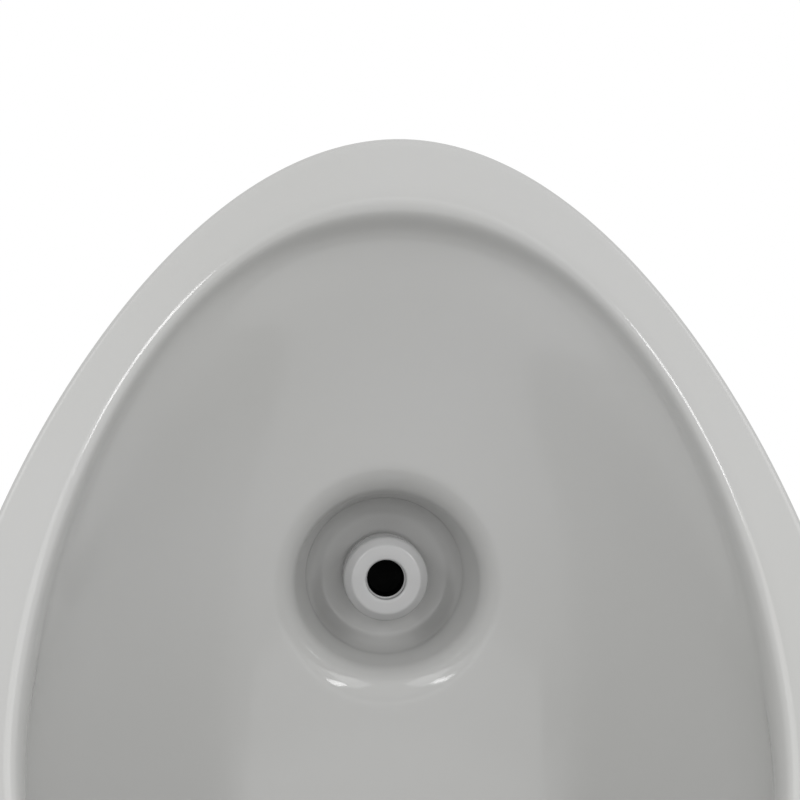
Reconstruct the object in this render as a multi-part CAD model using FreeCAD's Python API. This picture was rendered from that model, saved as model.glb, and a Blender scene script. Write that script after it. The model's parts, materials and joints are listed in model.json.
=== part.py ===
import FreeCAD
import Part
import math
import os

V = FreeCAD.Vector
ROUND = 0.5523                # share that makes a quarter of a circle

# ---------------------------------------------------------------------------
# Driving dimensions, in millimetres. The wall is the plane y = 0, the urinal
# stands out towards -y, and the origin is midway between the two wall studs.
# "Reach" is measured forward of the wall, "drop" below the top of the rim.
# ---------------------------------------------------------------------------

# Ceramic outline
APEX_ABOVE_FIXING = 120.0     # top of the rim over the wall studs
RIM_HALF_WIDTH = 172.0        # widest place of the rim
RIM_WIDEST_DROP = 245.0
RIM_SIDE_REACH = 240.0        # the rim at that place, forward of the wall
RIM_TOP_REACH = 170.0
LIP_REACH = 325.0
LIP_DROP = 402.0
WALL_HALF_WIDTH = 152.0       # half width of the edge that meets the wall
WALL_WIDEST_DROP = 290.0
WALL_TOP_DROP = 8.0           # top of that edge
RIM_BAND_TOP = 31.0           # face width of the rim at the top
RIM_BAND_SIDE = 34.0          # face width of the rim at its widest place
RIM_BAND_LIP = 22.0           # face width of the rim at the lip
RIM_EDGE = 5.0                # roundness of the outer rim edge
RIM_ROLL_TOP = 0.5            # share of the rim's face that rolls over the inner edge
RIM_ROLL_SIDE = 0.55
RIM_ROLL_LIP = 0.25
BACK_WALL_REACH = 94.0        # deepest place of the inside
BOWL_DROP = 440.0             # bottom of the bowl
TRAP_ROOM = 165.0             # bottom of the bowl to the lowest ceramic
BODY_HEIGHT = BOWL_DROP + TRAP_ROOM
DRAIN_REACH = 165.0
DRAIN_DISH_R = 20.0           # flat spot round the drain
WALL = 10.0                   # thickness of the ceramic
LIP_HOLLOW_SHARE = 0.5        # how far up the bowl front the hollow climbs
HOLLOW_PAST_WALL = 6.0        # how far the hollow's cutter runs past the wall
RING_COLUMNS = 24             # control points round each ring of the ceramic
HOOD_OVER_CUP = 8.0           # joint of the hood over the cup of the recess
BOWL_JOINT_SHARE = 0.56       # joint of the bowl, from the nozzle down to the bowl
APRON_BELOW_BOSS = 8.0        # joint of the apron under the drain's boss

# The inside, a row for each ring above the drain. Shares of the run from the
# deepest place to the rim's top (reach) and of the bowl's drop for the back;
# of drain to rim side, of the bowl's drop and of the rim's inner half width
# for the side; of drain to lip and of lip to bowl for the front.
INSIDE_ROWS = [
    (0.184, 0.932, 0.09, 0.961, 0.616, 0.529, 0.84),
    (0.050, 0.818, 0.19, 0.886, 0.826, 0.710, 0.62),
    (0.000, 0.670, 0.31, 0.784, 0.935, 0.825, 0.42),
    (0.030, 0.511, 0.42, 0.693, 0.982, 0.889, 0.28),
    (0.160, 0.352, 0.52, 0.609, 0.996, 0.922, 0.19),
    (0.395, 0.209, 0.61, 0.568, 1.0, 0.946, 0.12),
    (0.737, 0.105, 0.70, 0.55, 1.0, 0.960, 0.07),
]

# The outer skin from the rim back to the wall. Shares of the rim's reach and
# of the way to the wall edge: for the top, the side and the lip, then how
# full the lower quarters are.
OUTSIDE_ROWS = [
    (0.882, 0.12, 0.896, 0.11, 0.0, 0.991, 0.138, 0.55, 0.55),
    (0.676, 0.38, 0.688, 0.38, 0.2, 0.920, 0.532, 0.55, 0.55),
    (0.441, 0.62, 0.458, 0.78, 0.5, 0.738, 0.862, 0.60, 0.62),
    (0.206, 0.88, 0.208, 1.0, 0.85, 0.385, 0.990, 0.65, 0.72),
    (0.0, 1.0, 0.0, 1.0, 1.0, 0.0, 1.0, 0.70, 0.78),
]

# Recess of the spray nozzle
NOZZLE_DROP = 165.0
RECESS_MOUTH_R = 36.0
RECESS_FLOOR_R = 29.0
RECESS_DEPTH = 31.0
RECESS_FLOOR_ROUND = 8.0
RECESS_MOUTH_ROUND = 16.0     # the mouth rolls softly into the back wall
CUP_WALL = 9.0                # ceramic behind and beside the recess

# Spray nozzle and water supply
NOZZLE_R = 16.5
NOZZLE_LENGTH = 20.5          # from its gasket to its face
NOZZLE_FACE_R = 13.0
NOZZLE_BORE_R = 7.8
NOZZLE_BORE_DEPTH = 23.0
NOZZLE_WATERWAY_R = 5.0
TAIL_R = 10.4                 # threaded tail, half-inch pipe size
TAIL_HOLE_R = 11.3
NOZZLE_GASKET = 1.5
NOZZLE_WASHER = 3.0
NOZZLE_WASHER_R = 19.0
NUT_HEIGHT = 8.0
NUT_FLATS = 34.0              # over the flats of the nozzle's rear nut
TAIL_FREE = 10.0              # tail left behind that nut for the union
SUPPLY_R = 7.5                # supply tube, outer radius
SUPPLY_BORE_R = 6.3
SUPPLY_COLLAR_R = 9.9
SUPPLY_COLLAR = 3.0
SUPPLY_STRAIGHT = 14.0
SUPPLY_BEND_R = 45.0
SUPPLY_INTO_WALL = 35.0
UNION_SEAL = 2.0
UNION_FLATS = 24.0
UNION_LIP = 3.0

# Drain and waste
DRAIN_HOLE_R = 25.0
DRAIN_SEAT_R = 36.5
DRAIN_SEAT_DEPTH = 6.0
DRAIN_BOSS_R = 39.0
DRAIN_BOSS = 24.0             # ceramic round the drain, below the bowl
WASTE_R = 23.9                # threaded waste, one and a half inch pipe size
WASTE_BORE_R = 20.0
WASTE_FLANGE_R = 34.0
WASTE_FLANGE = 3.0
WASTE_SEAL = 2.0
WASTE_LOWER_SEAL = 3.0
WASTE_NUT_FLATS = 64.0
WASTE_NUT = 9.0
WASTE_FREE = 11.0             # thread left below the nut for the trap
STRAINER_R = 31.5
STRAINER_RISE = 4.5
STRAINER_THICK = 1.8
STRAINER_SPIGOT_R = 19.6
STRAINER_SPIGOT = 12.0
STRAINER_HOLE_R = 2.4

# Trap and outlet
TRAP_R = 36.0
TRAP_WALL = 3.0
TRAP_ROOF_BELOW_WASTE = 10.0
TRAP_SKIRT_R = 33.6           # thread of the trap under its wider shoulder
TRAP_SHOULDER = 41.0          # roof to that shoulder
TRAP_SKIRT = 10.0
TRAP_CUP_R = 38.0
TRAP_CUP_DEPTH = 29.0
TRAP_NECK_R = 21.0
TRAP_DIP_R = 17.0
TRAP_WATER_GAP = 9.0          # dip tube to the floor of the cup
TRAP_NUT_R = 31.0
GRIP_RIBS = 12                # ribs round each nut that is turned by hand
GRIP_RIB_OUT = 1.5
GRIP_RIB_WIDTH = 2.4
OUTLET_R = 16.0               # outlet tube, outer radius
OUTLET_WALL = 2.0
OUTLET_BELOW_ROOF = 21.5
OUTLET_PORT_R = 19.6
OUTLET_PORT_REACH = 62.0      # trap centre to the end of its port
OUTLET_NUT_R = 24.0
OUTLET_NUT = 20.0
OUTLET_INTO_WALL = 42.0
CUFF_R = 25.0
CUFF_LENGTH = 34.0
CUFF_FLANGE_R = 29.0
CUFF_FLANGE = 3.0
CUFF_GAP = 4.0                # cuff's seat behind the face of the wall
CUFF_GROOVE = 1.0             # groove between the cuff's flange and its barrel

# Hangers at the top
FIXING_SPACING = 120.0
STUD_R = 4.0                  # screwed end in front of the wall
STUD_OUT = 22.0
STUD_IN = 60.0
STUD_BODY_R = 5.0             # thicker body inside the wall
STUD_BODY_BEHIND = 0.2        # that body starts just behind the wall's face
STUD_NECK_R = 3.6             # neck that carries the expanding clip
STUD_NECK = 10.0
STUD_CONE = 6.0               # cone that spreads the clip
CLIP_WALL = 0.9
BRACKET_WIDTH = 32.0
BRACKET_THICK = 4.0
BRACKET_BELOW = 22.0
BRACKET_HOOK = 12.0
WEB_REAR_REACH = 8.0          # ceramic web that hangs on the brackets
WEB_DEPTH = 26.0
WEB_THICK = 14.0
WEB_ABOVE_FIXING = 22.0
PAD_THICK = 2.0
HANGER_NUT_FLATS = 13.0
HANGER_NUT = 6.5
HANGER_WASHER_R = 11.0
HANGER_WASHER = 2.0

# Concealed fixing low at each side
LOWER_DROP = 452.0
LOWER_REACH = 30.0
BLOCK_WIDTH = 34.0
BLOCK_HEIGHT = 40.0
BLOCK_DEPTH = 46.0
BLOCK_GAP = 5.0               # block to the inside of the ceramic
BLOCK_EDGE = 5.0
SIDE_SCREW_R = 3.0
SIDE_SCREW_HEAD_R = 6.0
SIDE_SCREW_LENGTH = 24.0
SIDE_HOLE_R = 7.0
SIDE_POCKET_R = 11.5
SIDE_POCKET = 4.0
CAP_R = 11.2
CAP_WALL = 1.2
WALL_SCREW_R = 3.0
WALL_SCREW_HEAD_R = 5.6
WALL_SCREW_IN = 48.0
WALL_SCREW_SUNK = 30.0        # seat of the screw's head below the block's face
SMALL_PLUG_R = 5.0

# Clearances
CLIP_FIT = 0.1                # between an anchor's neck and its clip
THREAD_GAP = 0.2              # radial, between a nut and its thread
SLIP_GAP = 0.4                # radial, between pieces that slip together


# ---------------------------------------------------------------------------
# Points, rings and plain solids
# ---------------------------------------------------------------------------

def at(reach, drop, side=0.0):
    """Point given forward of the wall, below the rim top and to the side."""
    return V(side, -reach, APEX_ABOVE_FIXING - drop)


def blend(a, b, t):
    return a + (b - a) * t


def curve_points(p0, p1, p2, p3, count):
    """Evenly stepped points of a cubic curve, the last one left out."""
    points = []
    for k in range(count):
        t = k / count
        s = 1.0 - t
        points.append(p0 * s ** 3 + p1 * (3 * t * s * s) + p2 * (3 * t * t * s) + p3 * t ** 3)
    return points


def ring(top, side, bottom, crown=0.535, shoulder=0.343, haunch=0.55, base=0.55):
    """Closed symmetric ring through a top, a side and a bottom point.

    The four shares say how full each quarter is at its two ends.
    """
    run = bottom - top
    run.normalize()
    across = V(side.x, 0, 0)
    above = run * (side - top).dot(run)
    below = run * (bottom - side).dot(run)
    quarter = RING_COLUMNS // 4
    upper = curve_points(top, top + across * crown, side - above * shoulder, side, quarter)
    lower = curve_points(side, side + below * haunch, bottom + across * base, bottom, quarter)
    half = upper + lower + [bottom]
    return half + [V(-p.x, p.y, p.z) for p in half[-2:0:-1]]


def control_ring(points):
    """Control points whose smooth curve passes through the ring.

    The list starts beside the bottom, so the seam lies under the lip.
    """
    count = len(points)
    start = count // 2 - 1
    net = []
    for j in range(count):
        bend = points[j - 1] - points[j] * 2 + points[(j + 1) % count]
        net.append(points[j] - bend * (1.0 / 6.0))
    return net[start:] + net[:start]


def skin(rings):
    """Smooth surface over a stack of rings, open at the first and last."""
    knots = list(range(len(rings) - 2))
    ends_clamped = [4] + [1] * (len(rings) - 4) + [4]
    surface = Part.BSplineSurface()
    surface.buildFromPolesMultsKnots(
        [control_ring(r) for r in rings], ends_clamped, [1] * (RING_COLUMNS + 1),
        knots, list(range(RING_COLUMNS + 1)), False, True, 3, 3)
    return surface


def edge_disc(face, level, axis):
    """Flat face over the open edge that lies in one plane."""
    for edge in face.Edges:
        points = edge.discretize(9)
        if all(abs(p.dot(axis) - level) < 1e-4 for p in points):
            return Part.Face(Part.Wire([edge]))
    raise ValueError("no flat edge at the level %s" % level)


def lump(rings):
    """Closed solid: the skin, a level disc at its start and one at the wall."""
    face = skin(rings).toShape()
    low_disc = edge_disc(face, rings[0][0].z, V(0, 0, 1))
    wall_disc = edge_disc(face, rings[-1][0].y, V(0, 1, 0))
    shell = Part.Shell([face, low_disc, wall_disc])
    shell.sewShape()
    solid = Part.Solid(shell)
    if solid.Volume < 0:
        solid.reverse()
    return solid


def revolved(outline):
    """Solid turned about Z from (radius, height) points, three for an arc."""
    edges = []
    pen = outline[0]
    for step in outline[1:] + [outline[0]]:
        start = V(pen[0], 0, pen[1])
        if len(step) == 4:
            middle = V(step[0], 0, step[1])
            end = V(step[2], 0, step[3])
            edges.append(Part.Arc(start, middle, end).toShape())
            pen = (step[2], step[3])
        else:
            end = V(step[0], 0, step[1])
            if start.distanceToPoint(end) > 1e-6:
                edges.append(Part.LineSegment(start, end).toShape())
            pen = step
    return Part.Face(Part.Wire(edges)).revolve(V(0, 0, 0), V(0, 0, 1), 360)


def pipe(outer, inner, low, high):
    """Round tube about Z between two heights."""
    return revolved([(inner, low), (outer, low), (outer, high), (inner, high)])


def hexagon(flats, low, high):
    """Hexagonal bar about Z between two heights."""
    corner = flats / math.sqrt(3)
    turns = [math.radians(60 * k) for k in range(7)]
    wire = Part.makePolygon([V(corner * math.cos(a), corner * math.sin(a), low) for a in turns])
    return Part.Face(wire).extrude(V(0, 0, high - low))


def hex_nut(flats, bore, low, high):
    """Hexagonal nut with its corners turned off at both ends."""
    corner = flats / math.sqrt(3)
    bevel = corner - flats / 2
    turned = revolved([(bore, low), (flats / 2, low), (corner, low + bevel * 0.6),
                       (corner, high - bevel * 0.6), (flats / 2, high), (bore, high)])
    return hexagon(flats, low, high).common(turned)


def place(shape, origin, direction):
    """The shape with its Z axis laid along the direction from the origin."""
    moved = shape.copy()
    moved.Placement = FreeCAD.Placement(origin, FreeCAD.Rotation(V(0, 0, 1), direction))
    return moved


def box(x0, x1, y0, y1, z0, z1):
    return Part.makeBox(x1 - x0, y1 - y0, z1 - z0, V(x0, y0, z0))


def both_sides(shape):
    """The shape and its mirror image across the middle plane."""
    return Part.makeCompound([shape, shape.mirror(V(0, 0, 0), V(1, 0, 0))])


# ---------------------------------------------------------------------------
# Ceramic skins
# ---------------------------------------------------------------------------

def inside_rings():
    """Rings of the bowl, back wall and hood, from the drain up to the rim."""
    drain = DRAIN_REACH
    dish = DRAIN_DISH_R
    bowl = BOWL_DROP
    lip_y, lip_d = lip_inner_edge()
    half = RIM_HALF_WIDTH - RIM_BAND_SIDE
    rings = [
        ring(at(drain - dish, bowl), at(drain, bowl, dish), at(drain + dish, bowl), ROUND, ROUND),
        ring(at(drain - dish * 1.95, bowl - dish * 0.2), at(drain + dish * 0.15, bowl - dish * 0.1, dish * 2.25),
             at(drain + dish * 2.35, bowl - dish * 0.05), ROUND, ROUND)]
    for top_y, top_d, side_y, side_d, side_w, front_y, front_d in INSIDE_ROWS:
        rings.append(ring(
            at(blend(BACK_WALL_REACH, RIM_TOP_REACH, top_y), bowl * top_d),
            at(blend(drain, RIM_SIDE_REACH, side_y), bowl * side_d, half * side_w),
            at(blend(drain, lip_y, front_y), blend(lip_d, bowl, front_d))))
    return rings


def lip_inner_edge():
    """Reach and drop of the rim's inner edge at the lip, whose face tips back."""
    return LIP_REACH - RIM_BAND_LIP * 0.53, LIP_DROP - RIM_BAND_LIP * 0.85


def rim_edges():
    """Outer and inner edge of the rim's face."""
    outer = ring(at(RIM_TOP_REACH, 0), at(RIM_SIDE_REACH, RIM_WIDEST_DROP, RIM_HALF_WIDTH),
                 at(LIP_REACH, LIP_DROP))
    inner = ring(at(RIM_TOP_REACH + RIM_BAND_TOP * 0.06, RIM_BAND_TOP),
                 at(RIM_SIDE_REACH + RIM_BAND_SIDE * 0.06, RIM_WIDEST_DROP - RIM_BAND_SIDE * 0.15,
                    RIM_HALF_WIDTH - RIM_BAND_SIDE),
                 at(*lip_inner_edge()),
                 crown=0.62, shoulder=0.45)
    return outer, inner


def rim_roll(toward_top):
    """Rolled share of the rim's face, from the lip (0) past the side (0.5) to the top (1)."""
    if toward_top > 0.5:
        return blend(RIM_ROLL_SIDE, RIM_ROLL_TOP, (2 * toward_top - 1) ** 4)
    return blend(RIM_ROLL_LIP, RIM_ROLL_SIDE, (2 * toward_top) ** 1.5)


def rim_rings():
    """Rings round the rim: its soft inner edge, its flat face, its outer edge."""
    outer, inner = rim_edges()
    count = len(outer)
    rows = [[] for _ in range(7)]
    for j in range(count):
        along = outer[(j + 1) % count] - outer[j - 1]
        inward = inner[j] - outer[j]
        width = inward.Length
        inward.normalize()
        back = inward.cross(along)
        back.normalize()
        if back.y < 0:
            back = back * -1.0
        toward_top = (1 + math.cos(2 * math.pi * j / count)) / 2
        roll = width * rim_roll(toward_top)
        rows[0].append(inner[j] + back * roll)
        rows[1].append(inner[j])
        rows[2].append(inner[j] - inward * roll)
        rows[3].append(blend(inner[j] - inward * roll, outer[j] + inward * RIM_EDGE, 0.5))
        rows[4].append(outer[j] + inward * RIM_EDGE)
        rows[5].append(outer[j])
        rows[6].append(outer[j] + back * RIM_EDGE)
    return rows


def outside_rings():
    """Rings of the outer skin, from behind the rim back to the wall."""
    rings = []
    for top_y, top_d, side_y, side_d, side_w, front_y, front_d, haunch, base in OUTSIDE_ROWS:
        rings.append(ring(
            at(RIM_TOP_REACH * top_y, WALL_TOP_DROP * top_d),
            at(RIM_SIDE_REACH * side_y, blend(RIM_WIDEST_DROP, WALL_WIDEST_DROP, side_d),
               blend(RIM_HALF_WIDTH, WALL_HALF_WIDTH, side_w)),
            at(LIP_REACH * front_y, blend(LIP_DROP, BODY_HEIGHT, front_d)),
            haunch=haunch, base=base))
    return rings


def offset_rings(rings, distance):
    """Rings moved square to the skin that they span."""
    moved = []
    count = len(rings[0])
    for i, points in enumerate(rings):
        before = rings[max(i - 1, 0)]
        after = rings[min(i + 1, len(rings) - 1)]
        row = []
        for j, point in enumerate(points):
            square = (after[j] - before[j]).cross(points[(j + 1) % count] - points[j - 1])
            square.normalize()
            row.append(point + square * distance)
        moved.append(row)
    return moved


def mix_rings(first, second, share):
    return [blend(p, q, share) for p, q in zip(first, second)]


def ring_between(rings, place_at_top, place_at_lip):
    """Ring at a fractional place in a stack, which may lie deeper at the lip."""
    count = len(rings[0])
    points = []
    for j in range(count):
        toward_lip = (1 - math.cos(2 * math.pi * j / count)) / 2
        where = blend(place_at_top, place_at_lip, toward_lip)
        low = min(int(where), len(rings) - 2)
        points.append(blend(rings[low][j], rings[low + 1][j], where - low))
    return points


def hollow_rings():
    """Rings of the hollow back, from under the bowl to past the wall edge."""
    bowl = offset_rings(inside_rings(), WALL)
    shell = offset_rings(outside_rings(), WALL)
    floor = [V(p.x, p.y, p.z - WALL) for p in inside_rings()[0]]
    climb = [ring_between(bowl, k, blend(1, k, LIP_HOLLOW_SHARE)) for k in range(1, 8)]
    fold_in = climb.pop()
    fold_out = ring_between(shell, 0, 0.6)
    crest_in = mix_rings(fold_in, fold_out, 0.35)
    crest_out = mix_rings(fold_out, fold_in, 0.25)
    edge = [V(p.x, 0, p.z) for p in shell[-1]]
    past = [V(p.x, HOLLOW_PAST_WALL, p.z) for p in edge]
    return [floor] + climb + [crest_in, crest_out] + shell[1:-1] + [edge, past]


def glazed_rings():
    return inside_rings() + rim_rings() + outside_rings()


TOP_COLUMN = RING_COLUMNS / 2    # place of the middle line on the back wall


def back_wall_frame(drop):
    """Point on the middle line of the back wall and the way it faces."""
    surface = skin(glazed_rings())
    level = APEX_ABOVE_FIXING - drop
    low = 0.5
    high = float(len(inside_rings()) - 2)
    for _ in range(60):
        middle = (low + high) / 2
        if surface.value(middle, TOP_COLUMN).z < level:
            low = middle
        else:
            high = middle
    facing = surface.normal(low, TOP_COLUMN)
    facing.x = 0
    facing.normalize()
    if facing.y > 0:
        facing = facing * -1.0
    return surface.value(low, TOP_COLUMN), facing


NOZZLE_POINT, NOZZLE_FACING = back_wall_frame(NOZZLE_DROP)
BOWL_Z = APEX_ABOVE_FIXING - BOWL_DROP
DRAIN_CENTRE = V(0, -DRAIN_REACH, 0)
SEAT_Z = BOWL_Z - DRAIN_SEAT_DEPTH
BOSS_Z = BOWL_Z - DRAIN_BOSS


def on_nozzle_axis(shape):
    return place(shape, NOZZLE_POINT, NOZZLE_FACING)


def on_drain_axis(shape):
    moved = shape.copy()
    moved.translate(DRAIN_CENTRE)
    return moved


def recess_radius(height):
    """Radius of the recess's coned side at a height along its axis."""
    slope = (RECESS_MOUTH_R - RECESS_FLOOR_R) / RECESS_DEPTH
    return RECESS_MOUTH_R + slope * height


def recess_cutter():
    """Coned recess with a rounded floor, run out well forward of the wall."""
    out = RECESS_DEPTH * 1.5
    floor = -RECESS_DEPTH
    r = RECESS_FLOOR_ROUND
    side = recess_radius(floor + r)
    return revolved([(0, out), (recess_radius(out), out), (side, floor + r),
                     (side - r * 0.29, floor + r * 0.29, side - r, floor), (0, floor)])


def recess_cup():
    """Ceramic that wraps the back of the recess inside the hollow."""
    rear = -RECESS_DEPTH - CUP_WALL
    side = RECESS_MOUTH_R + CUP_WALL
    tail = RECESS_FLOOR_R + CUP_WALL
    return revolved([(0, -1), (side, -1), (tail, -RECESS_DEPTH), (tail - CUP_WALL, rear), (0, rear)])


def mouth_edges(shape):
    """Edges where the coned recess comes out through the back wall."""
    found = []
    for edge in shape.Edges:
        on_cone = True
        for point in edge.discretize(12):
            height = (point - NOZZLE_POINT).dot(NOZZLE_FACING)
            radius = (point - NOZZLE_POINT - NOZZLE_FACING * height).Length
            near = -2.0 < height < RECESS_DEPTH
            on_cone = on_cone and near and abs(radius - recess_radius(height)) < 0.05
        if on_cone:
            found.append(edge)
    return found


def skin_reach(body, reach, drop):
    """Half width of the outer skin at a reach and drop."""
    start = at(reach, drop)
    line = Part.LineSegment(start, start + V(2 * RIM_HALF_WIDTH, 0, 0)).toShape()
    hits = body.common(line)
    return max(v.X for v in hits.Vertexes)


def web():
    """Ceramic web across the hollow, which hangs on the two brackets."""
    low = WEB_ABOVE_FIXING
    return box(-RIM_HALF_WIDTH, RIM_HALF_WIDTH, -WEB_REAR_REACH - WEB_DEPTH, -WEB_REAR_REACH,
               low, low + WEB_THICK)


GLAZED_LUMP = lump(glazed_rings())
LOWER_X = skin_reach(GLAZED_LUMP, LOWER_REACH, LOWER_DROP)
LOWER_Z = APEX_ABOVE_FIXING - LOWER_DROP


def glazed_shell():
    """Glazed shell: hood, bowl, rim and skin, hollow behind, open at the wall."""
    shell = GLAZED_LUMP.cut(lump(hollow_rings()))
    added = [on_nozzle_axis(recess_cup()),
             on_drain_axis(pipe(DRAIN_BOSS_R, 0, BOSS_Z, BOWL_Z - WALL / 3)),
             web().common(GLAZED_LUMP)]
    shell = shell.fuse(added)
    shell = shell.cut(on_nozzle_axis(recess_cutter()))
    shell = shell.makeFillet(RECESS_MOUTH_ROUND, mouth_edges(shell))
    cup_rear = -RECESS_DEPTH - CUP_WALL
    cuts = [on_nozzle_axis(pipe(TAIL_HOLE_R, 0, cup_rear - WALL, WALL - RECESS_DEPTH)),
            on_drain_axis(pipe(DRAIN_HOLE_R, 0, BOSS_Z - WALL, BOWL_Z + WALL)),
            on_drain_axis(pipe(DRAIN_SEAT_R, 0, SEAT_Z, BOWL_Z + DRAIN_SEAT_R)),
            box(-BODY_HEIGHT, BODY_HEIGHT, 0, BODY_HEIGHT, -BODY_HEIGHT, BODY_HEIGHT)]
    for side in (1, -1):
        axis = V(side, 0, 0)
        mark = V(side * LOWER_X, -LOWER_REACH, LOWER_Z)
        cuts.append(place(pipe(SIDE_HOLE_R, 0, -WALL * 2, WALL), mark, axis))
        cuts.append(place(pipe(SIDE_POCKET_R, 0, -SIDE_POCKET, WALL), mark, axis))
    return shell.cut(cuts)


# The ceramic is one casting. It is stored as four solids stacked on level
# joints, so that contact keeps its hollow back and its bowl open.

HOOD_Z = NOZZLE_POINT.z + RECESS_MOUTH_R + CUP_WALL + HOOD_OVER_CUP
BOWL_JOINT_Z = blend(NOZZLE_POINT.z, BOWL_Z, BOWL_JOINT_SHARE)
APRON_Z = BOSS_Z - APRON_BELOW_BOSS
GLAZED_SHELL = glazed_shell()


def ceramic_between(low, high):
    return GLAZED_SHELL.common(box(-BODY_HEIGHT, BODY_HEIGHT, -BODY_HEIGHT, 1, low, high))


def ceramic_hood():
    """Arched top with its rim, and the web that hangs on the brackets."""
    return ceramic_between(HOOD_Z, BODY_HEIGHT)


def ceramic_back():
    """Back wall with the recess, the two flanks and their rim."""
    return ceramic_between(BOWL_JOINT_Z, HOOD_Z)


def ceramic_bowl():
    """Bowl, lip and drain boss, with the skin in front and beside them."""
    return ceramic_between(APRON_Z, BOWL_JOINT_Z)


def ceramic_apron():
    """Skin that closes the underside, below the trap."""
    return ceramic_between(-BODY_HEIGHT, APRON_Z)


# ---------------------------------------------------------------------------
# Spray nozzle and water supply, along the nozzle's axis. Heights are measured
# forward from the back wall; the recess floor lies at -RECESS_DEPTH.
# ---------------------------------------------------------------------------

NOZZLE_BASE = -RECESS_DEPTH + NOZZLE_GASKET
NOZZLE_FACE = NOZZLE_BASE + NOZZLE_LENGTH
CUP_REAR = -RECESS_DEPTH - CUP_WALL
NUT_FRONT = CUP_REAR - NOZZLE_WASHER
NUT_REAR = NUT_FRONT - NUT_HEIGHT
TAIL_END = NUT_REAR - TAIL_FREE
COLLAR_END = TAIL_END - UNION_SEAL - SUPPLY_COLLAR


def spray_nozzle():
    """Nozzle with a rounded shoulder, a deep round mouth and a screwed tail."""
    round_r = NOZZLE_R - NOZZLE_FACE_R
    bend = round_r * 0.29
    body = revolved([
        (NOZZLE_WATERWAY_R, TAIL_END), (TAIL_R - 1, TAIL_END), (TAIL_R, TAIL_END + 1),
        (TAIL_R, NOZZLE_BASE), (NOZZLE_R, NOZZLE_BASE), (NOZZLE_R, NOZZLE_FACE - round_r),
        (NOZZLE_R - bend, NOZZLE_FACE - bend, NOZZLE_FACE_R, NOZZLE_FACE),
        (NOZZLE_BORE_R + 0.8, NOZZLE_FACE), (NOZZLE_BORE_R, NOZZLE_FACE - 0.8),
        (NOZZLE_BORE_R, NOZZLE_FACE - NOZZLE_BORE_DEPTH),
        (NOZZLE_WATERWAY_R, NOZZLE_FACE - NOZZLE_BORE_DEPTH)])
    return on_nozzle_axis(body)


def nozzle_gasket():
    return on_nozzle_axis(pipe(NOZZLE_R - 0.5, TAIL_R + THREAD_GAP, -RECESS_DEPTH, NOZZLE_BASE))


def nozzle_washer():
    return on_nozzle_axis(pipe(NOZZLE_WASHER_R, TAIL_R + THREAD_GAP, NUT_FRONT, CUP_REAR))


def nozzle_backnut():
    return on_nozzle_axis(hex_nut(NUT_FLATS, TAIL_R + THREAD_GAP, NUT_REAR, NUT_FRONT))


def supply_seal():
    return on_nozzle_axis(pipe(TAIL_R - 0.8, SUPPLY_BORE_R, TAIL_END - UNION_SEAL, TAIL_END))


def supply_union_nut():
    """Union nut that draws the supply tube's collar up to the nozzle's tail."""
    top = NUT_REAR - 1.5
    lip_top = COLLAR_END
    bottom = lip_top - UNION_LIP
    nut = hex_nut(UNION_FLATS, SUPPLY_R + SLIP_GAP, bottom, top)
    return on_nozzle_axis(nut.cut(pipe(TAIL_R + THREAD_GAP, 0, lip_top, top + 1)))


def supply_tube():
    """Bent tube from the nozzle's tail through the wall, with its collar."""
    start = NOZZLE_POINT + NOZZLE_FACING * (TAIL_END - UNION_SEAL)
    inward = NOZZLE_FACING * -1.0
    level = V(0, 1, 0)
    turn = inward.getAngle(level)
    trim = SUPPLY_BEND_R * math.tan(turn / 2)
    corner = start + inward * (SUPPLY_STRAIGHT + trim)
    bend_in = corner - inward * trim
    bend_out = corner + level * trim
    centre_way = (level - inward)
    centre_way.normalize()
    middle = corner + centre_way * (SUPPLY_BEND_R * (1 / math.cos(turn / 2) - 1))
    end = V(0, SUPPLY_INTO_WALL, bend_out.z)
    path = Part.Wire([Part.LineSegment(start, bend_in).toShape(),
                      Part.Arc(bend_in, middle, bend_out).toShape(),
                      Part.LineSegment(bend_out, end).toShape()])
    outer = Part.Wire(Part.makeCircle(SUPPLY_R, start, inward))
    bore = Part.Wire(Part.makeCircle(SUPPLY_BORE_R, start, inward))
    tube = path.makePipeShell([outer], True, False).cut(path.makePipeShell([bore], True, False))
    collar = on_nozzle_axis(pipe(SUPPLY_COLLAR_R, SUPPLY_BORE_R, COLLAR_END, TAIL_END - UNION_SEAL))
    return tube.fuse(collar).removeSplitter()


# ---------------------------------------------------------------------------
# Waste, about the upright axis of the drain
# ---------------------------------------------------------------------------

FLANGE_Z = SEAT_Z + WASTE_SEAL + WASTE_FLANGE
WASTE_NUT_TOP = BOSS_Z - WASTE_LOWER_SEAL
WASTE_NUT_LOW = WASTE_NUT_TOP - WASTE_NUT
WASTE_END = WASTE_NUT_LOW - WASTE_FREE
ROOF_Z = WASTE_END - TRAP_ROOF_BELOW_WASTE
SHOULDER_Z = ROOF_Z - TRAP_SHOULDER
SKIRT_Z = SHOULDER_Z - TRAP_SKIRT
CUP_TOP = SHOULDER_Z - SLIP_GAP
CUP_LOW = CUP_TOP - TRAP_CUP_DEPTH
CUP_FLOOR = CUP_LOW + TRAP_WALL
PORT_Z = ROOF_Z - OUTLET_BELOW_ROOF
PORT_POINT = V(0, -DRAIN_REACH, PORT_Z)
NECK_Z = WASTE_END - WASTE_SEAL


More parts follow.
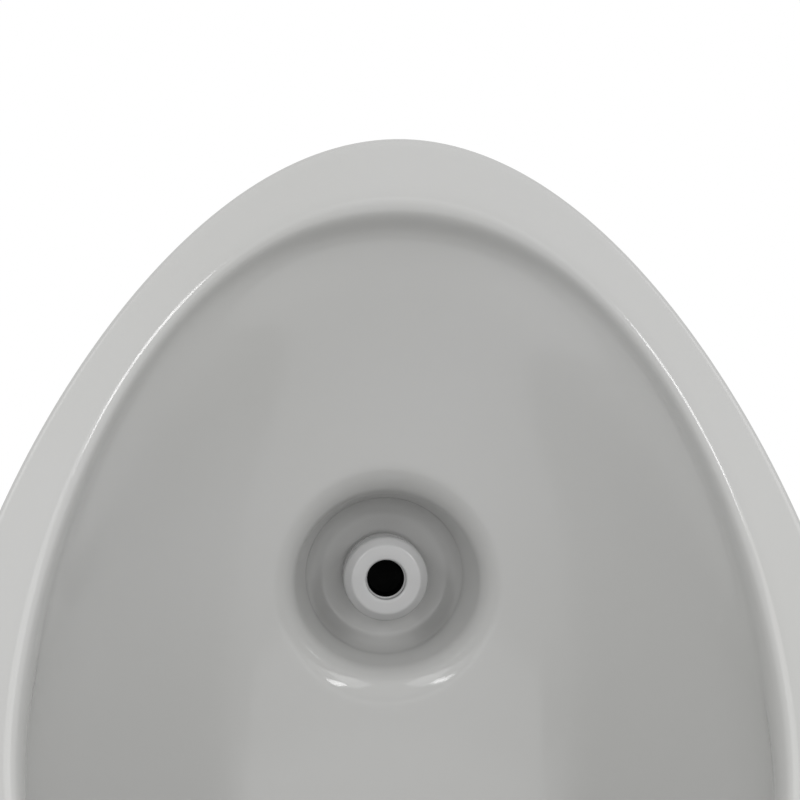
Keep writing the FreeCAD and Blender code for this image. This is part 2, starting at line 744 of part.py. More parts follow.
def drain_strainer():
    """Domed strainer with rings of holes, which lifts out of the waste."""
    top = FLANGE_Z + STRAINER_RISE
    rim = STRAINER_R
    flat = rim * 0.62
    dome = revolved([
        (0, top - STRAINER_THICK), (flat - 0.6, top - STRAINER_THICK), (rim - 3, FLANGE_Z),
        (rim, FLANGE_Z), (rim, FLANGE_Z + 0.8), (rim - 0.6, FLANGE_Z + 1.6),
        (flat + 1.5, top - 0.3), (flat, top), (0, top)])
    holes = []
    for count, radius in ((1, 0), (6, rim * 0.27), (12, rim * 0.52)):
        for k in range(count):
            turn = 2 * math.pi * k / count
            hole = pipe(STRAINER_HOLE_R, 0, FLANGE_Z - STRAINER_THICK, top + STRAINER_THICK)
            hole.translate(V(radius * math.cos(turn), radius * math.sin(turn), 0))
            holes.append(hole)
    spigot = pipe(STRAINER_SPIGOT_R, STRAINER_SPIGOT_R - 1.4, FLANGE_Z - STRAINER_SPIGOT,
                  top - STRAINER_THICK * 0.7)
    return on_drain_axis(dome.cut(holes).fuse(spigot))


def waste_body():
    """Flanged waste with a coned mouth and a screwed barrel."""
    mouth = WASTE_BORE_R + 3
    barrel = revolved([
        (WASTE_BORE_R, WASTE_END), (WASTE_R - 1, WASTE_END), (WASTE_R, WASTE_END + 1),
        (WASTE_R, SEAT_Z + WASTE_SEAL), (WASTE_FLANGE_R, SEAT_Z + WASTE_SEAL),
        (WASTE_FLANGE_R, FLANGE_Z - 1), (WASTE_FLANGE_R - 1, FLANGE_Z), (mouth, FLANGE_Z),
        (WASTE_BORE_R, FLANGE_Z - 3)])
    return on_drain_axis(barrel)


def waste_upper_seal():
    return on_drain_axis(pipe(WASTE_FLANGE_R - 1, DRAIN_HOLE_R + 0.5, SEAT_Z, SEAT_Z + WASTE_SEAL))


def waste_lower_seal():
    return on_drain_axis(pipe(DRAIN_BOSS_R - 3, WASTE_R + THREAD_GAP, WASTE_NUT_TOP, BOSS_Z))


def waste_backnut():
    return on_drain_axis(hex_nut(WASTE_NUT_FLATS, WASTE_R + THREAD_GAP, WASTE_NUT_LOW, WASTE_NUT_TOP))


def trap_union_seal():
    return on_drain_axis(pipe(WASTE_R - 0.9, WASTE_BORE_R, NECK_Z, WASTE_END))


def trap_union_nut():
    """Ribbed union nut between the waste and the neck of the trap."""
    low = NECK_Z - TRAP_WALL - 3
    top = WASTE_NUT_LOW - 1.5
    nut = pipe(TRAP_NUT_R, TRAP_NECK_R + SLIP_GAP, low, top)
    nut = nut.cut(pipe(WASTE_R + THREAD_GAP, 0, NECK_Z - TRAP_WALL, top + 1))
    return on_drain_axis(nut.fuse(grip_ribs(TRAP_NUT_R, low, top)))


def grip_ribs(radius, low, high):
    """Short ribs round a nut that is turned by hand, sunk as deep as they stand out."""
    half = GRIP_RIB_WIDTH / 2
    ribs = []
    for k in range(GRIP_RIBS):
        rib = box(radius - GRIP_RIB_OUT, radius + GRIP_RIB_OUT, -half, half, low, high)
        rib.rotate(V(0, 0, 0), V(0, 0, 1), 360.0 * k / GRIP_RIBS)
        ribs.append(rib)
    return ribs


def trap_body():
    """Bottle of the trap: flanged neck, dip tube, roof, side and outlet port."""
    inner = TRAP_R - TRAP_WALL
    dip_end = CUP_FLOOR + TRAP_WATER_GAP
    neck_top = NECK_Z
    neck_low = NECK_Z - TRAP_WALL
    bottle = revolved([
        (TRAP_DIP_R, dip_end), (TRAP_DIP_R + 2, dip_end), (TRAP_DIP_R + 2, ROOF_Z - TRAP_WALL),
        (inner - 4, ROOF_Z - TRAP_WALL), (inner, ROOF_Z - TRAP_WALL - 4), (inner, SHOULDER_Z + 2),
        (TRAP_SKIRT_R - 2.4, SHOULDER_Z), (TRAP_SKIRT_R - 2.4, SKIRT_Z), (TRAP_SKIRT_R, SKIRT_Z),
        (TRAP_SKIRT_R, SHOULDER_Z), (TRAP_R, SHOULDER_Z), (TRAP_R, ROOF_Z - 5),
        (TRAP_R - 1.5, ROOF_Z - 1.5), (TRAP_R - 5, ROOF_Z), (TRAP_NECK_R, ROOF_Z),
        (TRAP_NECK_R, neck_low), (WASTE_R - 0.5, neck_low), (WASTE_R - 0.5, neck_top),
        (TRAP_DIP_R, neck_top)])
    reach = OUTLET_PORT_REACH
    port = place(pipe(OUTLET_PORT_R, 0, TRAP_R - TRAP_WALL, reach), V(0, 0, PORT_Z), V(0, 1, 0))
    bore = place(pipe(OUTLET_R + SLIP_GAP, 0, TRAP_DIP_R + 6, reach + 1), V(0, 0, PORT_Z), V(0, 1, 0))
    return on_drain_axis(bottle.fuse(port).cut(bore))


def trap_cup_seal():
    return on_drain_axis(pipe(TRAP_SKIRT_R, TRAP_SKIRT_R - 2.4, SKIRT_Z - WASTE_SEAL, SKIRT_Z))


def trap_cup():
    """Cup screwed up over the skirt of the trap, with grips round it."""
    thread = TRAP_SKIRT_R + THREAD_GAP
    ledge = SKIRT_Z - WASTE_SEAL
    cup = revolved([
        (0, CUP_LOW), (TRAP_CUP_R - 6, CUP_LOW), (TRAP_CUP_R, CUP_LOW + 6), (TRAP_CUP_R, CUP_TOP),
        (thread, CUP_TOP), (thread, ledge), (TRAP_SKIRT_R - 2.4, ledge),
        (TRAP_SKIRT_R - 7, CUP_FLOOR), (0, CUP_FLOOR)])
    return on_drain_axis(cup.fuse(grip_ribs(TRAP_CUP_R, CUP_LOW + 7, CUP_TOP)))


# The outlet lies level, from the trap's port straight back through the wall.

PORT_END = OUTLET_PORT_REACH
OUTLET_SEAL_LENGTH = 5.0
OUTLET_NUT_LIP = 3.0
OUTLET_END = DRAIN_REACH + OUTLET_INTO_WALL


def on_outlet_axis(shape):
    return place(shape, PORT_POINT, V(0, 1, 0))


def outlet_pipe():
    start = TRAP_R + 6
    return on_outlet_axis(pipe(OUTLET_R, OUTLET_R - OUTLET_WALL, start, OUTLET_END))


def outlet_seal():
    """Coned ring squeezed between the port, the pipe and its nut."""
    return on_outlet_axis(revolved([
        (OUTLET_R, PORT_END), (OUTLET_PORT_R, PORT_END),
        (OUTLET_PORT_R, PORT_END + 1.5), (OUTLET_R + 1.5, PORT_END + OUTLET_SEAL_LENGTH),
        (OUTLET_R, PORT_END + OUTLET_SEAL_LENGTH)]))


def outlet_union_nut():
    high = PORT_END + OUTLET_SEAL_LENGTH + OUTLET_NUT_LIP
    low = high - OUTLET_NUT
    nut = pipe(OUTLET_NUT_R, OUTLET_R + SLIP_GAP, low, high)
    nut = nut.cut(pipe(OUTLET_PORT_R + THREAD_GAP, 0, low - 1, high - OUTLET_NUT_LIP))
    return on_outlet_axis(nut.fuse(grip_ribs(OUTLET_NUT_R, low, high)))


def wall_cuff():
    """Rubber cuff that seals the pipe in the drain inside the wall."""
    face = DRAIN_REACH + CUFF_GAP
    flange = face - CUFF_FLANGE
    end = face + CUFF_LENGTH
    return on_outlet_axis(revolved([
        (OUTLET_R, flange), (CUFF_FLANGE_R, flange), (CUFF_FLANGE_R, face),
        (CUFF_R - CUFF_GROOVE, face), (CUFF_R - CUFF_GROOVE, face + CUFF_GROOVE),
        (CUFF_R, face + CUFF_GROOVE), (CUFF_R, end - CUFF_FLANGE), (CUFF_R - CUFF_FLANGE, end),
        (OUTLET_R, end)]))


# ---------------------------------------------------------------------------
# Hangers: two wall studs, each holding a hooked bracket under the web
# ---------------------------------------------------------------------------

STUD_X = FIXING_SPACING / 2
HOOK_TOP = WEB_ABOVE_FIXING - PAD_THICK
HOOK_END = WEB_REAR_REACH + WEB_DEPTH + SLIP_GAP


def on_stud(shape):
    """A shape modelled forward along +Z, set on both wall studs."""
    return both_sides(place(shape, V(STUD_X, 0, 0), V(0, -1, 0)))


def wall_studs():
    """Wedge anchors: screwed end, body, neck for the clip and a cone behind it."""
    end = -STUD_IN
    cone = end + STUD_CONE
    neck = cone + STUD_NECK
    front = -STUD_BODY_BEHIND
    bevel = STUD_BODY_R - STUD_R
    return on_stud(revolved([
        (0, end), (STUD_R, end), (STUD_BODY_R, end + bevel), (STUD_NECK_R, cone),
        (STUD_NECK_R, neck), (STUD_BODY_R, neck), (STUD_BODY_R, front), (STUD_R, front),
        (STUD_R, STUD_OUT - bevel), (STUD_R - bevel, STUD_OUT), (0, STUD_OUT)]))


def anchor_clips():
    """Split sleeves round the necks of the anchors, which grip the wall."""
    low = -STUD_IN + STUD_CONE
    inner = STUD_NECK_R + CLIP_FIT
    clip = pipe(inner + CLIP_WALL, inner, low + CLIP_FIT, low + STUD_NECK - CLIP_FIT)
    slit = box(0, STUD_BODY_R * 2, -CLIP_WALL / 2, CLIP_WALL / 2, low - 1, low + STUD_NECK + 1)
    return on_stud(clip.cut(slit))


def hanger_brackets():
    """Pressed brackets: wall plate, level tongue and an upturned hook."""
    half = BRACKET_WIDTH / 2
    thick = BRACKET_THICK
    outline = [V(0, 0, -BRACKET_BELOW), V(0, -thick, -BRACKET_BELOW), V(0, -thick, HOOK_TOP - thick),
               V(0, -HOOK_END - thick, HOOK_TOP - thick), V(0, -HOOK_END - thick, HOOK_TOP + BRACKET_HOOK),
               V(0, -HOOK_END, HOOK_TOP + BRACKET_HOOK), V(0, -HOOK_END, HOOK_TOP), V(0, 0, HOOK_TOP),
               V(0, 0, -BRACKET_BELOW)]
    plate = Part.Face(Part.makePolygon(outline)).extrude(V(BRACKET_WIDTH, 0, 0))
    plate.translate(V(STUD_X - half, 0, 0))
    plate = plate.cut(place(pipe(STUD_R + SLIP_GAP, 0, -5, 20), V(STUD_X, 0, 0), V(0, -1, 0)))
    return both_sides(plate)


def hanger_pads():
    """Strips of rubber between the brackets' tongues and the ceramic web."""
    half = BRACKET_WIDTH / 2
    return both_sides(box(STUD_X - half, STUD_X + half, -WEB_REAR_REACH - WEB_DEPTH,
                          -WEB_REAR_REACH, HOOK_TOP, WEB_ABOVE_FIXING))


def hanger_washers():
    return on_stud(pipe(HANGER_WASHER_R, STUD_R + SLIP_GAP, BRACKET_THICK,
                        BRACKET_THICK + HANGER_WASHER))


def hanger_nuts():
    low = BRACKET_THICK + HANGER_WASHER
    return on_stud(hex_nut(HANGER_NUT_FLATS, STUD_R + THREAD_GAP, low, low + HANGER_NUT))


# ---------------------------------------------------------------------------
# Concealed fixing at each lower side: a block on the wall, a screw from the
# side through a sleeve in the ceramic, and a cap over its head
# ---------------------------------------------------------------------------

BLOCK_OUTER_X = LOWER_X - WALL - BLOCK_GAP
BLOCK_INNER_X = BLOCK_OUTER_X - BLOCK_WIDTH
POCKET_X = LOWER_X - SIDE_POCKET
SLEEVE_FLANGE = 1.2


def on_side_screw(shape):
    """A shape modelled outward along +Z from the middle plane, at both sides."""
    return both_sides(place(shape, V(0, -LOWER_REACH, LOWER_Z), V(1, 0, 0)))


def lower_blocks():
    """Moulded blocks with a bore for the side screw and one for the wall screw."""
    block = box(BLOCK_INNER_X, BLOCK_OUTER_X, -BLOCK_DEPTH, 0,
                LOWER_Z - BLOCK_HEIGHT / 2, LOWER_Z + BLOCK_HEIGHT / 2)
    upright = [e for e in block.Edges if abs(e.tangentAt(e.FirstParameter).z) > 0.9
               and e.CenterOfMass.y < -1]
    block = block.makeFillet(BLOCK_EDGE, upright)
    side_bore = place(pipe(SIDE_SCREW_R + THREAD_GAP, 0, BLOCK_OUTER_X - 16, BLOCK_OUTER_X + 1),
                      V(0, -LOWER_REACH, LOWER_Z), V(1, 0, 0))
    return both_sides(block.cut([side_bore] + [wall_screw_cutter(s) for s in (1, -1)]))


def wall_screw_point(step):
    x = BLOCK_INNER_X + BLOCK_WIDTH * 0.32
    return V(x, 0, LOWER_Z + step * BLOCK_HEIGHT * 0.27)


def wall_screw_cutter(step):
    """Clearance bore and sunk head of one wall screw, cut from the block."""
    bore = pipe(WALL_SCREW_R + SLIP_GAP, 0, -1, BLOCK_DEPTH + 1)
    head = pipe(WALL_SCREW_HEAD_R + SLIP_GAP, 0, BLOCK_DEPTH - WALL_SCREW_SUNK, BLOCK_DEPTH + 1)
    return place(bore.fuse(head), wall_screw_point(step), V(0, -1, 0))


def lower_wall_screws():
    seat = BLOCK_DEPTH - WALL_SCREW_SUNK
    screw = revolved([(0, -WALL_SCREW_IN), (WALL_SCREW_R, -WALL_SCREW_IN + 6), (WALL_SCREW_R, seat),
                      (WALL_SCREW_HEAD_R, seat), (WALL_SCREW_HEAD_R, seat + 2.4),
                      (WALL_SCREW_HEAD_R - 1.6, seat + 4), (0, seat + 4)])
    pair = [place(screw, wall_screw_point(step), V(0, -1, 0)) for step in (1, -1)]
    return both_sides(Part.makeCompound(pair))


def lower_wall_plugs():
    plug = revolved([(0, -WALL_SCREW_IN - 3), (SMALL_PLUG_R - 1, -WALL_SCREW_IN - 3),
                     (SMALL_PLUG_R, -WALL_SCREW_IN + 3), (SMALL_PLUG_R, 0), (WALL_SCREW_R, 0),
                     (WALL_SCREW_R, -WALL_SCREW_IN + 6), (0, -WALL_SCREW_IN)])
    pair = [place(plug, wall_screw_point(step), V(0, -1, 0)) for step in (1, -1)]
    return both_sides(Part.makeCompound(pair))


def side_sleeves():
    """Flanged sleeves that take up the hole in the ceramic."""
    outer = SIDE_HOLE_R - 0.3
    bore = SIDE_SCREW_R + THREAD_GAP
    return on_side_screw(revolved([
        (bore, BLOCK_OUTER_X), (outer, BLOCK_OUTER_X), (outer, POCKET_X),
        (outer + 2.5, POCKET_X), (outer + 2.5, POCKET_X + SLEEVE_FLANGE),
        (bore, POCKET_X + SLEEVE_FLANGE)]))


def side_screws():
    seat = POCKET_X + SLEEVE_FLANGE
    tip = seat - SIDE_SCREW_LENGTH
    head = SIDE_SCREW_HEAD_R
    screw = revolved([(0, tip), (SIDE_SCREW_R - 1, tip), (SIDE_SCREW_R, tip + 2), (SIDE_SCREW_R, seat),
                      (head, seat), (head, seat + 0.4), (head * 0.75, seat + 1.4), (0, seat + 1.4)])
    return on_side_screw(screw)


def side_caps():
    """Shallow caps that close the pockets flush with the glaze."""
    top = POCKET_X + SIDE_POCKET
    rim = CAP_R - CAP_WALL
    return on_side_screw(revolved([
        (rim, POCKET_X), (CAP_R, POCKET_X), (CAP_R, top - 0.6), (CAP_R - 0.6, top),
        (CAP_R * 0.5, top + 0.6), (0, top + 0.6), (0, top - CAP_WALL + 0.6), (rim, top - CAP_WALL)]))


# ---------------------------------------------------------------------------

PARTS = [
    ceramic_hood, ceramic_back, ceramic_bowl, ceramic_apron,
    spray_nozzle, nozzle_gasket, nozzle_washer, nozzle_backnut,
    supply_seal, supply_union_nut, supply_tube,
    drain_strainer, waste_body, waste_upper_seal, waste_lower_seal, waste_backnut,
    trap_union_seal, trap_union_nut, trap_body, trap_cup_seal, trap_cup,
    outlet_pipe, outlet_seal, outlet_union_nut, wall_cuff,
    wall_studs, anchor_clips, hanger_brackets, hanger_pads, hanger_washers, hanger_nuts,
    lower_blocks, lower_wall_screws, lower_wall_plugs, side_sleeves, side_screws, side_caps,
]


def main():
    """Writes each piece to its own file and prints what it came to."""
    os.makedirs("parts", exist_ok=True)
    for make in PARTS:
        shape = make()
        name = make.__name__
        size = shape.optimalBoundingBox()
        print("%-18s solids %d valid %s volume %9.0f  x %.1f y %.1f..%.1f z %.1f..%.1f" % (
            name, len(shape.Solids), shape.isValid(), shape.Volume,
            size.XMax, size.YMin, size.YMax, size.ZMin, size.ZMax))
        shape.exportStep("parts/%s.step" % name)


main()
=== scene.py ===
import json
import math

import bmesh
import bpy
import numpy as np
from mathutils import Matrix, Vector

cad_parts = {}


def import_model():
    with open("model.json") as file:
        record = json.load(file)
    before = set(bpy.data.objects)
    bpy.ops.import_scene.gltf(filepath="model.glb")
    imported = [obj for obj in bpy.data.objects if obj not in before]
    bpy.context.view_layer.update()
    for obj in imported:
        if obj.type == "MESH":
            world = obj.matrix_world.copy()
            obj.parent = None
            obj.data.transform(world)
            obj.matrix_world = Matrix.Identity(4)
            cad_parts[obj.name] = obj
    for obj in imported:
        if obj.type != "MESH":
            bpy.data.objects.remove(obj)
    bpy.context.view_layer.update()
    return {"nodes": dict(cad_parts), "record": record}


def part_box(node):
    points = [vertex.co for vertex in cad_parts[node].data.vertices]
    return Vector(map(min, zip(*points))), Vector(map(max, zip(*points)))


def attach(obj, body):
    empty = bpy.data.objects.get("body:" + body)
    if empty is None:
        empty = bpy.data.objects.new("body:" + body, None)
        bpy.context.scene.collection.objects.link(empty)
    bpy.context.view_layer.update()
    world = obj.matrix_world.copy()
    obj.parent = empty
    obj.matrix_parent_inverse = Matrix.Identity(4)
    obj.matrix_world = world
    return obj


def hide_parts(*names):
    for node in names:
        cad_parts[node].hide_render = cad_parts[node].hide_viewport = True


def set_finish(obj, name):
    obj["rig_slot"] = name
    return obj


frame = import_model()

# The camera, fitted to the photograph's outline of the rim and to the nozzle.
# The focal length is in pixels of an 800 pixel wide picture; the turn is yaw,
# pitch and roll in radians.
FOCAL_PIXELS = 5500.0
PICTURE_PIXELS = 800.0
SENSOR_MM = 36.0
CAMERA_PLACE = (-0.1137, -2.2314, -0.2010)
CAMERA_TURN = (0.0551, 0.1064, 0.0184)

# Stage, in metres
FLOOR_Z = -0.90
FLOOR_HALF = 6.0

# The world's level on matt surfaces, and the glaze's two colours on the screen
FILL = 0.64
GLAZE_LIGHT = (188, 188, 187)
GLAZE_DARK = (185, 185, 183)

# Softboxes: azimuth, elevation, distance, width, height, power. The angles
# are in degrees, seen from the point that they all aim at.
LAMP_AIM = (0.0, -0.15, -0.1)
LIGHTS = [
    (0, -7, 2.6, 6.4, 0.8, 10.5),
    (-62, 28, 2.4, 1.6, 1.8, 3.0),
    (62, 28, 2.4, 1.6, 1.8, 3.0),
    (-35, 16, 2.2, 0.25, 0.6, 4.5),
    (35, 16, 2.2, 0.25, 0.6, 4.5),
    (-40, 38, 2.2, 1.0, 1.0, 5.0),
    (40, 38, 2.2, 1.0, 1.0, 5.0),
]


# Sizes of the ceramic, in millimetres, the same as the part's own
# ---------------------------------------------------------------------------

APEX = 120.0
RIM_HALF = 172.0
RIM_WIDEST = 245.0
RIM_SIDE_REACH = 240.0
RIM_TOP_REACH = 170.0
LIP_REACH = 325.0
LIP_DROP = 402.0
BOWL_DROP = 440.0
BODY_HEIGHT = 605.0
WALL_HALF = 152.0
WALL_WIDEST = 290.0
WALL_TOP = 8.0
BAND_TOP = 31.0
BAND_SIDE = 34.0
BAND_LIP = 22.0
RIM_EDGE = 5.0
ROLL_TOP = 0.5  # shares of the band that the soft inner edge takes
ROLL_SIDE = 0.55
ROLL_LIP = 0.25
BACK_REACH = 94.0
DRAIN_REACH = 165.0
DISH_R = 20.0
WALL = 10.0
LIP_HOLLOW = 0.5  # share of its climb that the hollow makes at the lip
PAST_WALL = 6.0  # how far the hollow's skin runs on before it is cut
NOZZLE_DROP = 165.0
MOUTH_R = 36.0
FLOOR_R = 29.0
DEPTH = 31.0
FLOOR_ROUND = 8.0
MOUTH_ROUND = 16.0
CUP_WALL = 9.0
TAIL_HOLE_R = 11.3
HOLE_R = 25.0
SEAT_R = 36.5
SEAT_DEPTH = 6.0
SEAT_EDGE = 1.5
BOSS_R = 39.0
BOSS = 24.0
WEB_LOW = 22.0
WEB_THICK = 14.0
WEB_REAR = 8.0
WEB_DEPTH = 26.0
WEB_EDGE = 2.0
COLUMNS = 24  # points in each ring
CIRCLE = 0.5523  # handle length that makes a curve a quarter circle

# Rings between the bowl's floor and the rim. Each row gives shares: the top's
# reach and drop, the side's reach, drop and half width, and the front's reach
# and drop.
INSIDE_ROWS = [
    (0.184, 0.932, 0.09, 0.961, 0.616, 0.529, 0.84),
    (0.050, 0.818, 0.19, 0.886, 0.826, 0.710, 0.62),
    (0.000, 0.670, 0.31, 0.784, 0.935, 0.825, 0.42),
    (0.030, 0.511, 0.42, 0.693, 0.982, 0.889, 0.28),
    (0.160, 0.352, 0.52, 0.609, 0.996, 0.922, 0.19),
    (0.395, 0.209, 0.61, 0.568, 1.0, 0.946, 0.12),
    (0.737, 0.105, 0.70, 0.55, 1.0, 0.960, 0.07),
]

# Rings between the rim and the wall: shares as above, then the fullness of the
# lower side and of the base.
OUTSIDE_ROWS = [
    (0.882, 0.12, 0.896, 0.11, 0.0, 0.991, 0.138, 0.55, 0.55),
    (0.676, 0.38, 0.688, 0.38, 0.2, 0.920, 0.532, 0.55, 0.55),
    (0.441, 0.62, 0.458, 0.78, 0.5, 0.738, 0.862, 0.60, 0.62),
    (0.206, 0.88, 0.208, 1.0, 0.85, 0.385, 0.990, 0.65, 0.72),
    (0.0, 1.0, 0.0, 1.0, 1.0, 0.0, 1.0, 0.70, 0.78),
]


# The rings that the ceramic's skins are drawn through
# ---------------------------------------------------------------------------

def at(reach, drop, side=0.0):
    """Point from its reach off the wall, its drop below the apex and its side."""
    return np.array([side, -reach, APEX - drop])


def blend(a, b, t):
    return a + (b - a) * t


def unit(v):
    return v / np.linalg.norm(v, axis=-1, keepdims=True)


def curve_points(p0, p1, p2, p3, count):
    """Points along a Bezier curve, without its last."""
    t = (np.arange(count) / count)[:, None]
    s = 1.0 - t
    return p0 * s ** 3 + 3 * p1 * t * s * s + 3 * p2 * t * t * s + p3 * t ** 3


def ring(top, side, bottom, crown=0.535, shoulder=0.343, haunch=0.55, base=0.55):
    """Closed symmetric ring through a top, a side and a bottom point."""
    run = unit(bottom - top)
    across = np.array([side[0], 0.0, 0.0])
    above = run * np.dot(side - top, run)
    below = run * np.dot(bottom - side, run)
    quarter = COLUMNS // 4
    upper = curve_points(top, top + across * crown, side - above * shoulder, side, quarter)
    lower = curve_points(side, side + below * haunch, bottom + across * base, bottom, quarter)
    half = np.vstack([upper, lower, bottom[None]])
    return np.vstack([half, half[-2:0:-1] * [-1, 1, 1]])


def lip_inner_edge():
    """Reach and drop of the rim's inner edge at the lip."""
    return LIP_REACH - BAND_LIP * 0.53, LIP_DROP - BAND_LIP * 0.85


def inside_rings():
    """Rings from the bowl's dished floor up to the rim."""
    drain, dish, bowl = DRAIN_REACH, DISH_R, BOWL_DROP
    lip_y, lip_d = lip_inner_edge()
    half = RIM_HALF - BAND_SIDE
    rings = [
        ring(at(drain - dish, bowl), at(drain, bowl, dish), at(drain + dish, bowl),
             CIRCLE, CIRCLE),
        ring(at(drain - dish * 1.95, bowl - dish * 0.2),
             at(drain + dish * 0.15, bowl - dish * 0.1, dish * 2.25),
             at(drain + dish * 2.35, bowl - dish * 0.05), CIRCLE, CIRCLE)]
    for top_y, top_d, side_y, side_d, side_w, front_y, front_d in INSIDE_ROWS:
        rings.append(ring(
            at(blend(BACK_REACH, RIM_TOP_REACH, top_y), bowl * top_d),
            at(blend(drain, RIM_SIDE_REACH, side_y), bowl * side_d, half * side_w),
            at(blend(drain, lip_y, front_y), blend(lip_d, bowl, front_d))))
    return rings


def rim_rings():
    """Rings round the rim: its soft inner edge, its face and its outer edge."""
    outer = ring(at(RIM_TOP_REACH, 0), at(RIM_SIDE_REACH, RIM_WIDEST, RIM_HALF),
                 at(LIP_REACH, LIP_DROP))
    inner = ring(at(RIM_TOP_REACH + BAND_TOP * 0.06, BAND_TOP),
                 at(RIM_SIDE_REACH + BAND_SIDE * 0.06, RIM_WIDEST - BAND_SIDE * 0.15,
                    RIM_HALF - BAND_SIDE),
                 at(*lip_inner_edge()), crown=0.62, shoulder=0.45)
    along = np.roll(outer, -1, axis=0) - np.roll(outer, 1, axis=0)
    width = np.linalg.norm(inner - outer, axis=1)
    inward = unit(inner - outer)
    back = unit(np.cross(inward, along))
    back *= np.where(back[:, 1:2] < 0, -1.0, 1.0)
    toward_top = (1 + np.cos(2 * np.pi * np.arange(COLUMNS) / COLUMNS)) / 2
    above = blend(ROLL_SIDE, ROLL_TOP, np.maximum(2 * toward_top - 1, 0) ** 4)
    below = blend(ROLL_LIP, ROLL_SIDE, np.minimum(2 * toward_top, 1) ** 1.5)
    roll = (width * np.where(toward_top > 0.5, above, below))[:, None]
    flat_in, flat_out = inner - inward * roll, outer + inward * RIM_EDGE
    return [inner + back * roll, inner, flat_in, (flat_in + flat_out) / 2, flat_out, outer,
            outer + back * RIM_EDGE]


def outside_rings():
    """Rings from the rim back to the wall."""
    rings = []
    for top_y, top_d, side_y, side_d, side_w, front_y, front_d, haunch, base in OUTSIDE_ROWS:
        rings.append(ring(
            at(RIM_TOP_REACH * top_y, WALL_TOP * top_d),
            at(RIM_SIDE_REACH * side_y, blend(RIM_WIDEST, WALL_WIDEST, side_d),
               blend(RIM_HALF, WALL_HALF, side_w)),
            at(LIP_REACH * front_y, blend(LIP_DROP, BODY_HEIGHT, front_d)),
            haunch=haunch, base=base))
    return rings


def offset_rings(rings, distance):
    """Rings moved square to the skin that they span."""
    rings = np.array(rings)
    after = np.concatenate([rings[1:], rings[-1:]])
    before = np.concatenate([rings[:1], rings[:-1]])
    around = np.roll(rings, -1, axis=1) - np.roll(rings, 1, axis=1)
    return list(rings + unit(np.cross(after - before, around)) * distance)


def ring_between(rings, place_at_top, place_at_lip):
    """Ring at a fractional place in a stack, which may lie deeper at the lip."""
    toward_lip = (1 - np.cos(2 * np.pi * np.arange(COLUMNS) / COLUMNS)) / 2
    where = blend(place_at_top, place_at_lip, toward_lip)
    low = np.minimum(where.astype(int), len(rings) - 2)
    rings = np.array(rings)
    column = np.arange(COLUMNS)
    share = (where - low)[:, None]
    return blend(rings[low, column], rings[low + 1, column], share)


def hollow_rings():
    """Rings of the hollow back, from under the bowl to past the wall edge."""
    bowl = offset_rings(inside_rings(), WALL)
    shell = offset_rings(outside_rings(), WALL)
    floor = inside_rings()[0] - [0, 0, WALL]
    climb = [ring_between(bowl, k, blend(1, k, LIP_HOLLOW)) for k in range(1, 8)]
    fold_in = climb.pop()
    fold_out = ring_between(shell, 0, 0.6)
    crest_in = blend(fold_in, fold_out, 0.35)
    crest_out = blend(fold_out, fold_in, 0.25)
    edge = shell[-1] * [1, 0, 1]
    past = edge + [0, PAST_WALL, 0]
    return [floor] + climb + [crest_in, crest_out] + shell[1:-1] + [edge, past]


class Skin:
    """Smooth cubic surface over a stack of rings; u climbs the stack, v runs round."""

    def __init__(self, rings):
        net = []
        for points in rings:
            points = np.asarray(points, float)
            bend = np.roll(points, 1, axis=0) - 2 * points + np.roll(points, -1, axis=0)
            net.append(np.roll(points - bend / 6.0, -(COLUMNS // 2 - 1), axis=0))
        self.net = np.array(net)
        rows = len(net)
        self.last = float(rows - 3)
        self.knots = np.concatenate([[0] * 3, np.arange(rows - 2), [rows - 3] * 3]).astype(float)

    def rows_at(self, u):
        """Weight of each ring at each u, shape (points, rings)."""
        k = self.knots
        u = np.clip(np.asarray(u, float), 0, self.last)
        spans = len(k) - 1
        weight = np.zeros((len(u), spans))
        home = np.minimum(u.astype(int), int(self.last) - 1) + 3
        weight[np.arange(len(u)), home] = 1.0
        for degree in (1, 2, 3):
            grown = np.zeros((len(u), spans))
            for i in range(spans - degree):
                rise = k[i + degree] - k[i]
                fall = k[i + degree + 1] - k[i + 1]
                if rise > 0:
                    grown[:, i] += (u - k[i]) / rise * weight[:, i]
                if fall > 0:
                    grown[:, i] += (k[i + degree + 1] - u) / fall * weight[:, i + 1]
            weight = grown
        return weight[:, :len(self.net)]

    def at(self, u, v):
        """Points at u and v, which broadcast; the result adds an axis of 3."""
        u, v = np.broadcast_arrays(np.asarray(u, float), np.asarray(v, float))
        shape = u.shape
        u, v = u.ravel(), v.ravel() % COLUMNS
        columns = np.floor(v).astype(int)
        t = v - columns
        around = [(1 - t) ** 3 / 6, (3 * t ** 3 - 6 * t ** 2 + 4) / 6,
                  (-3 * t ** 3 + 3 * t ** 2 + 3 * t + 1) / 6, t ** 3 / 6]
        rows = self.rows_at(u)
        points = np.zeros((len(u), 3))
        for step, share in enumerate(around):
            column = self.net[:, (columns + step) % COLUMNS]
            points += np.einsum("ij,jik->ik", rows, column) * share[:, None]
        return points.reshape(shape + (3,))

    def solve(self, low, high, v, test):
        """The u of each column v, between low and high, where test(points) turns positive."""
        low = np.full(len(v), float(low))
        high = np.full(len(v), float(high))
        for _ in range(40):
            middle = (low + high) / 2
            past = test(self.at(middle, v)) > 0
            high = np.where(past, middle, high)
            low = np.where(past, low, middle)
        return (low + high) / 2


# Meshes
# ---------------------------------------------------------------------------

def add_object(name, data):
    """New object in the scene."""
    obj = bpy.data.objects.new(name, data)
    bpy.context.scene.collection.objects.link(obj)
    return obj


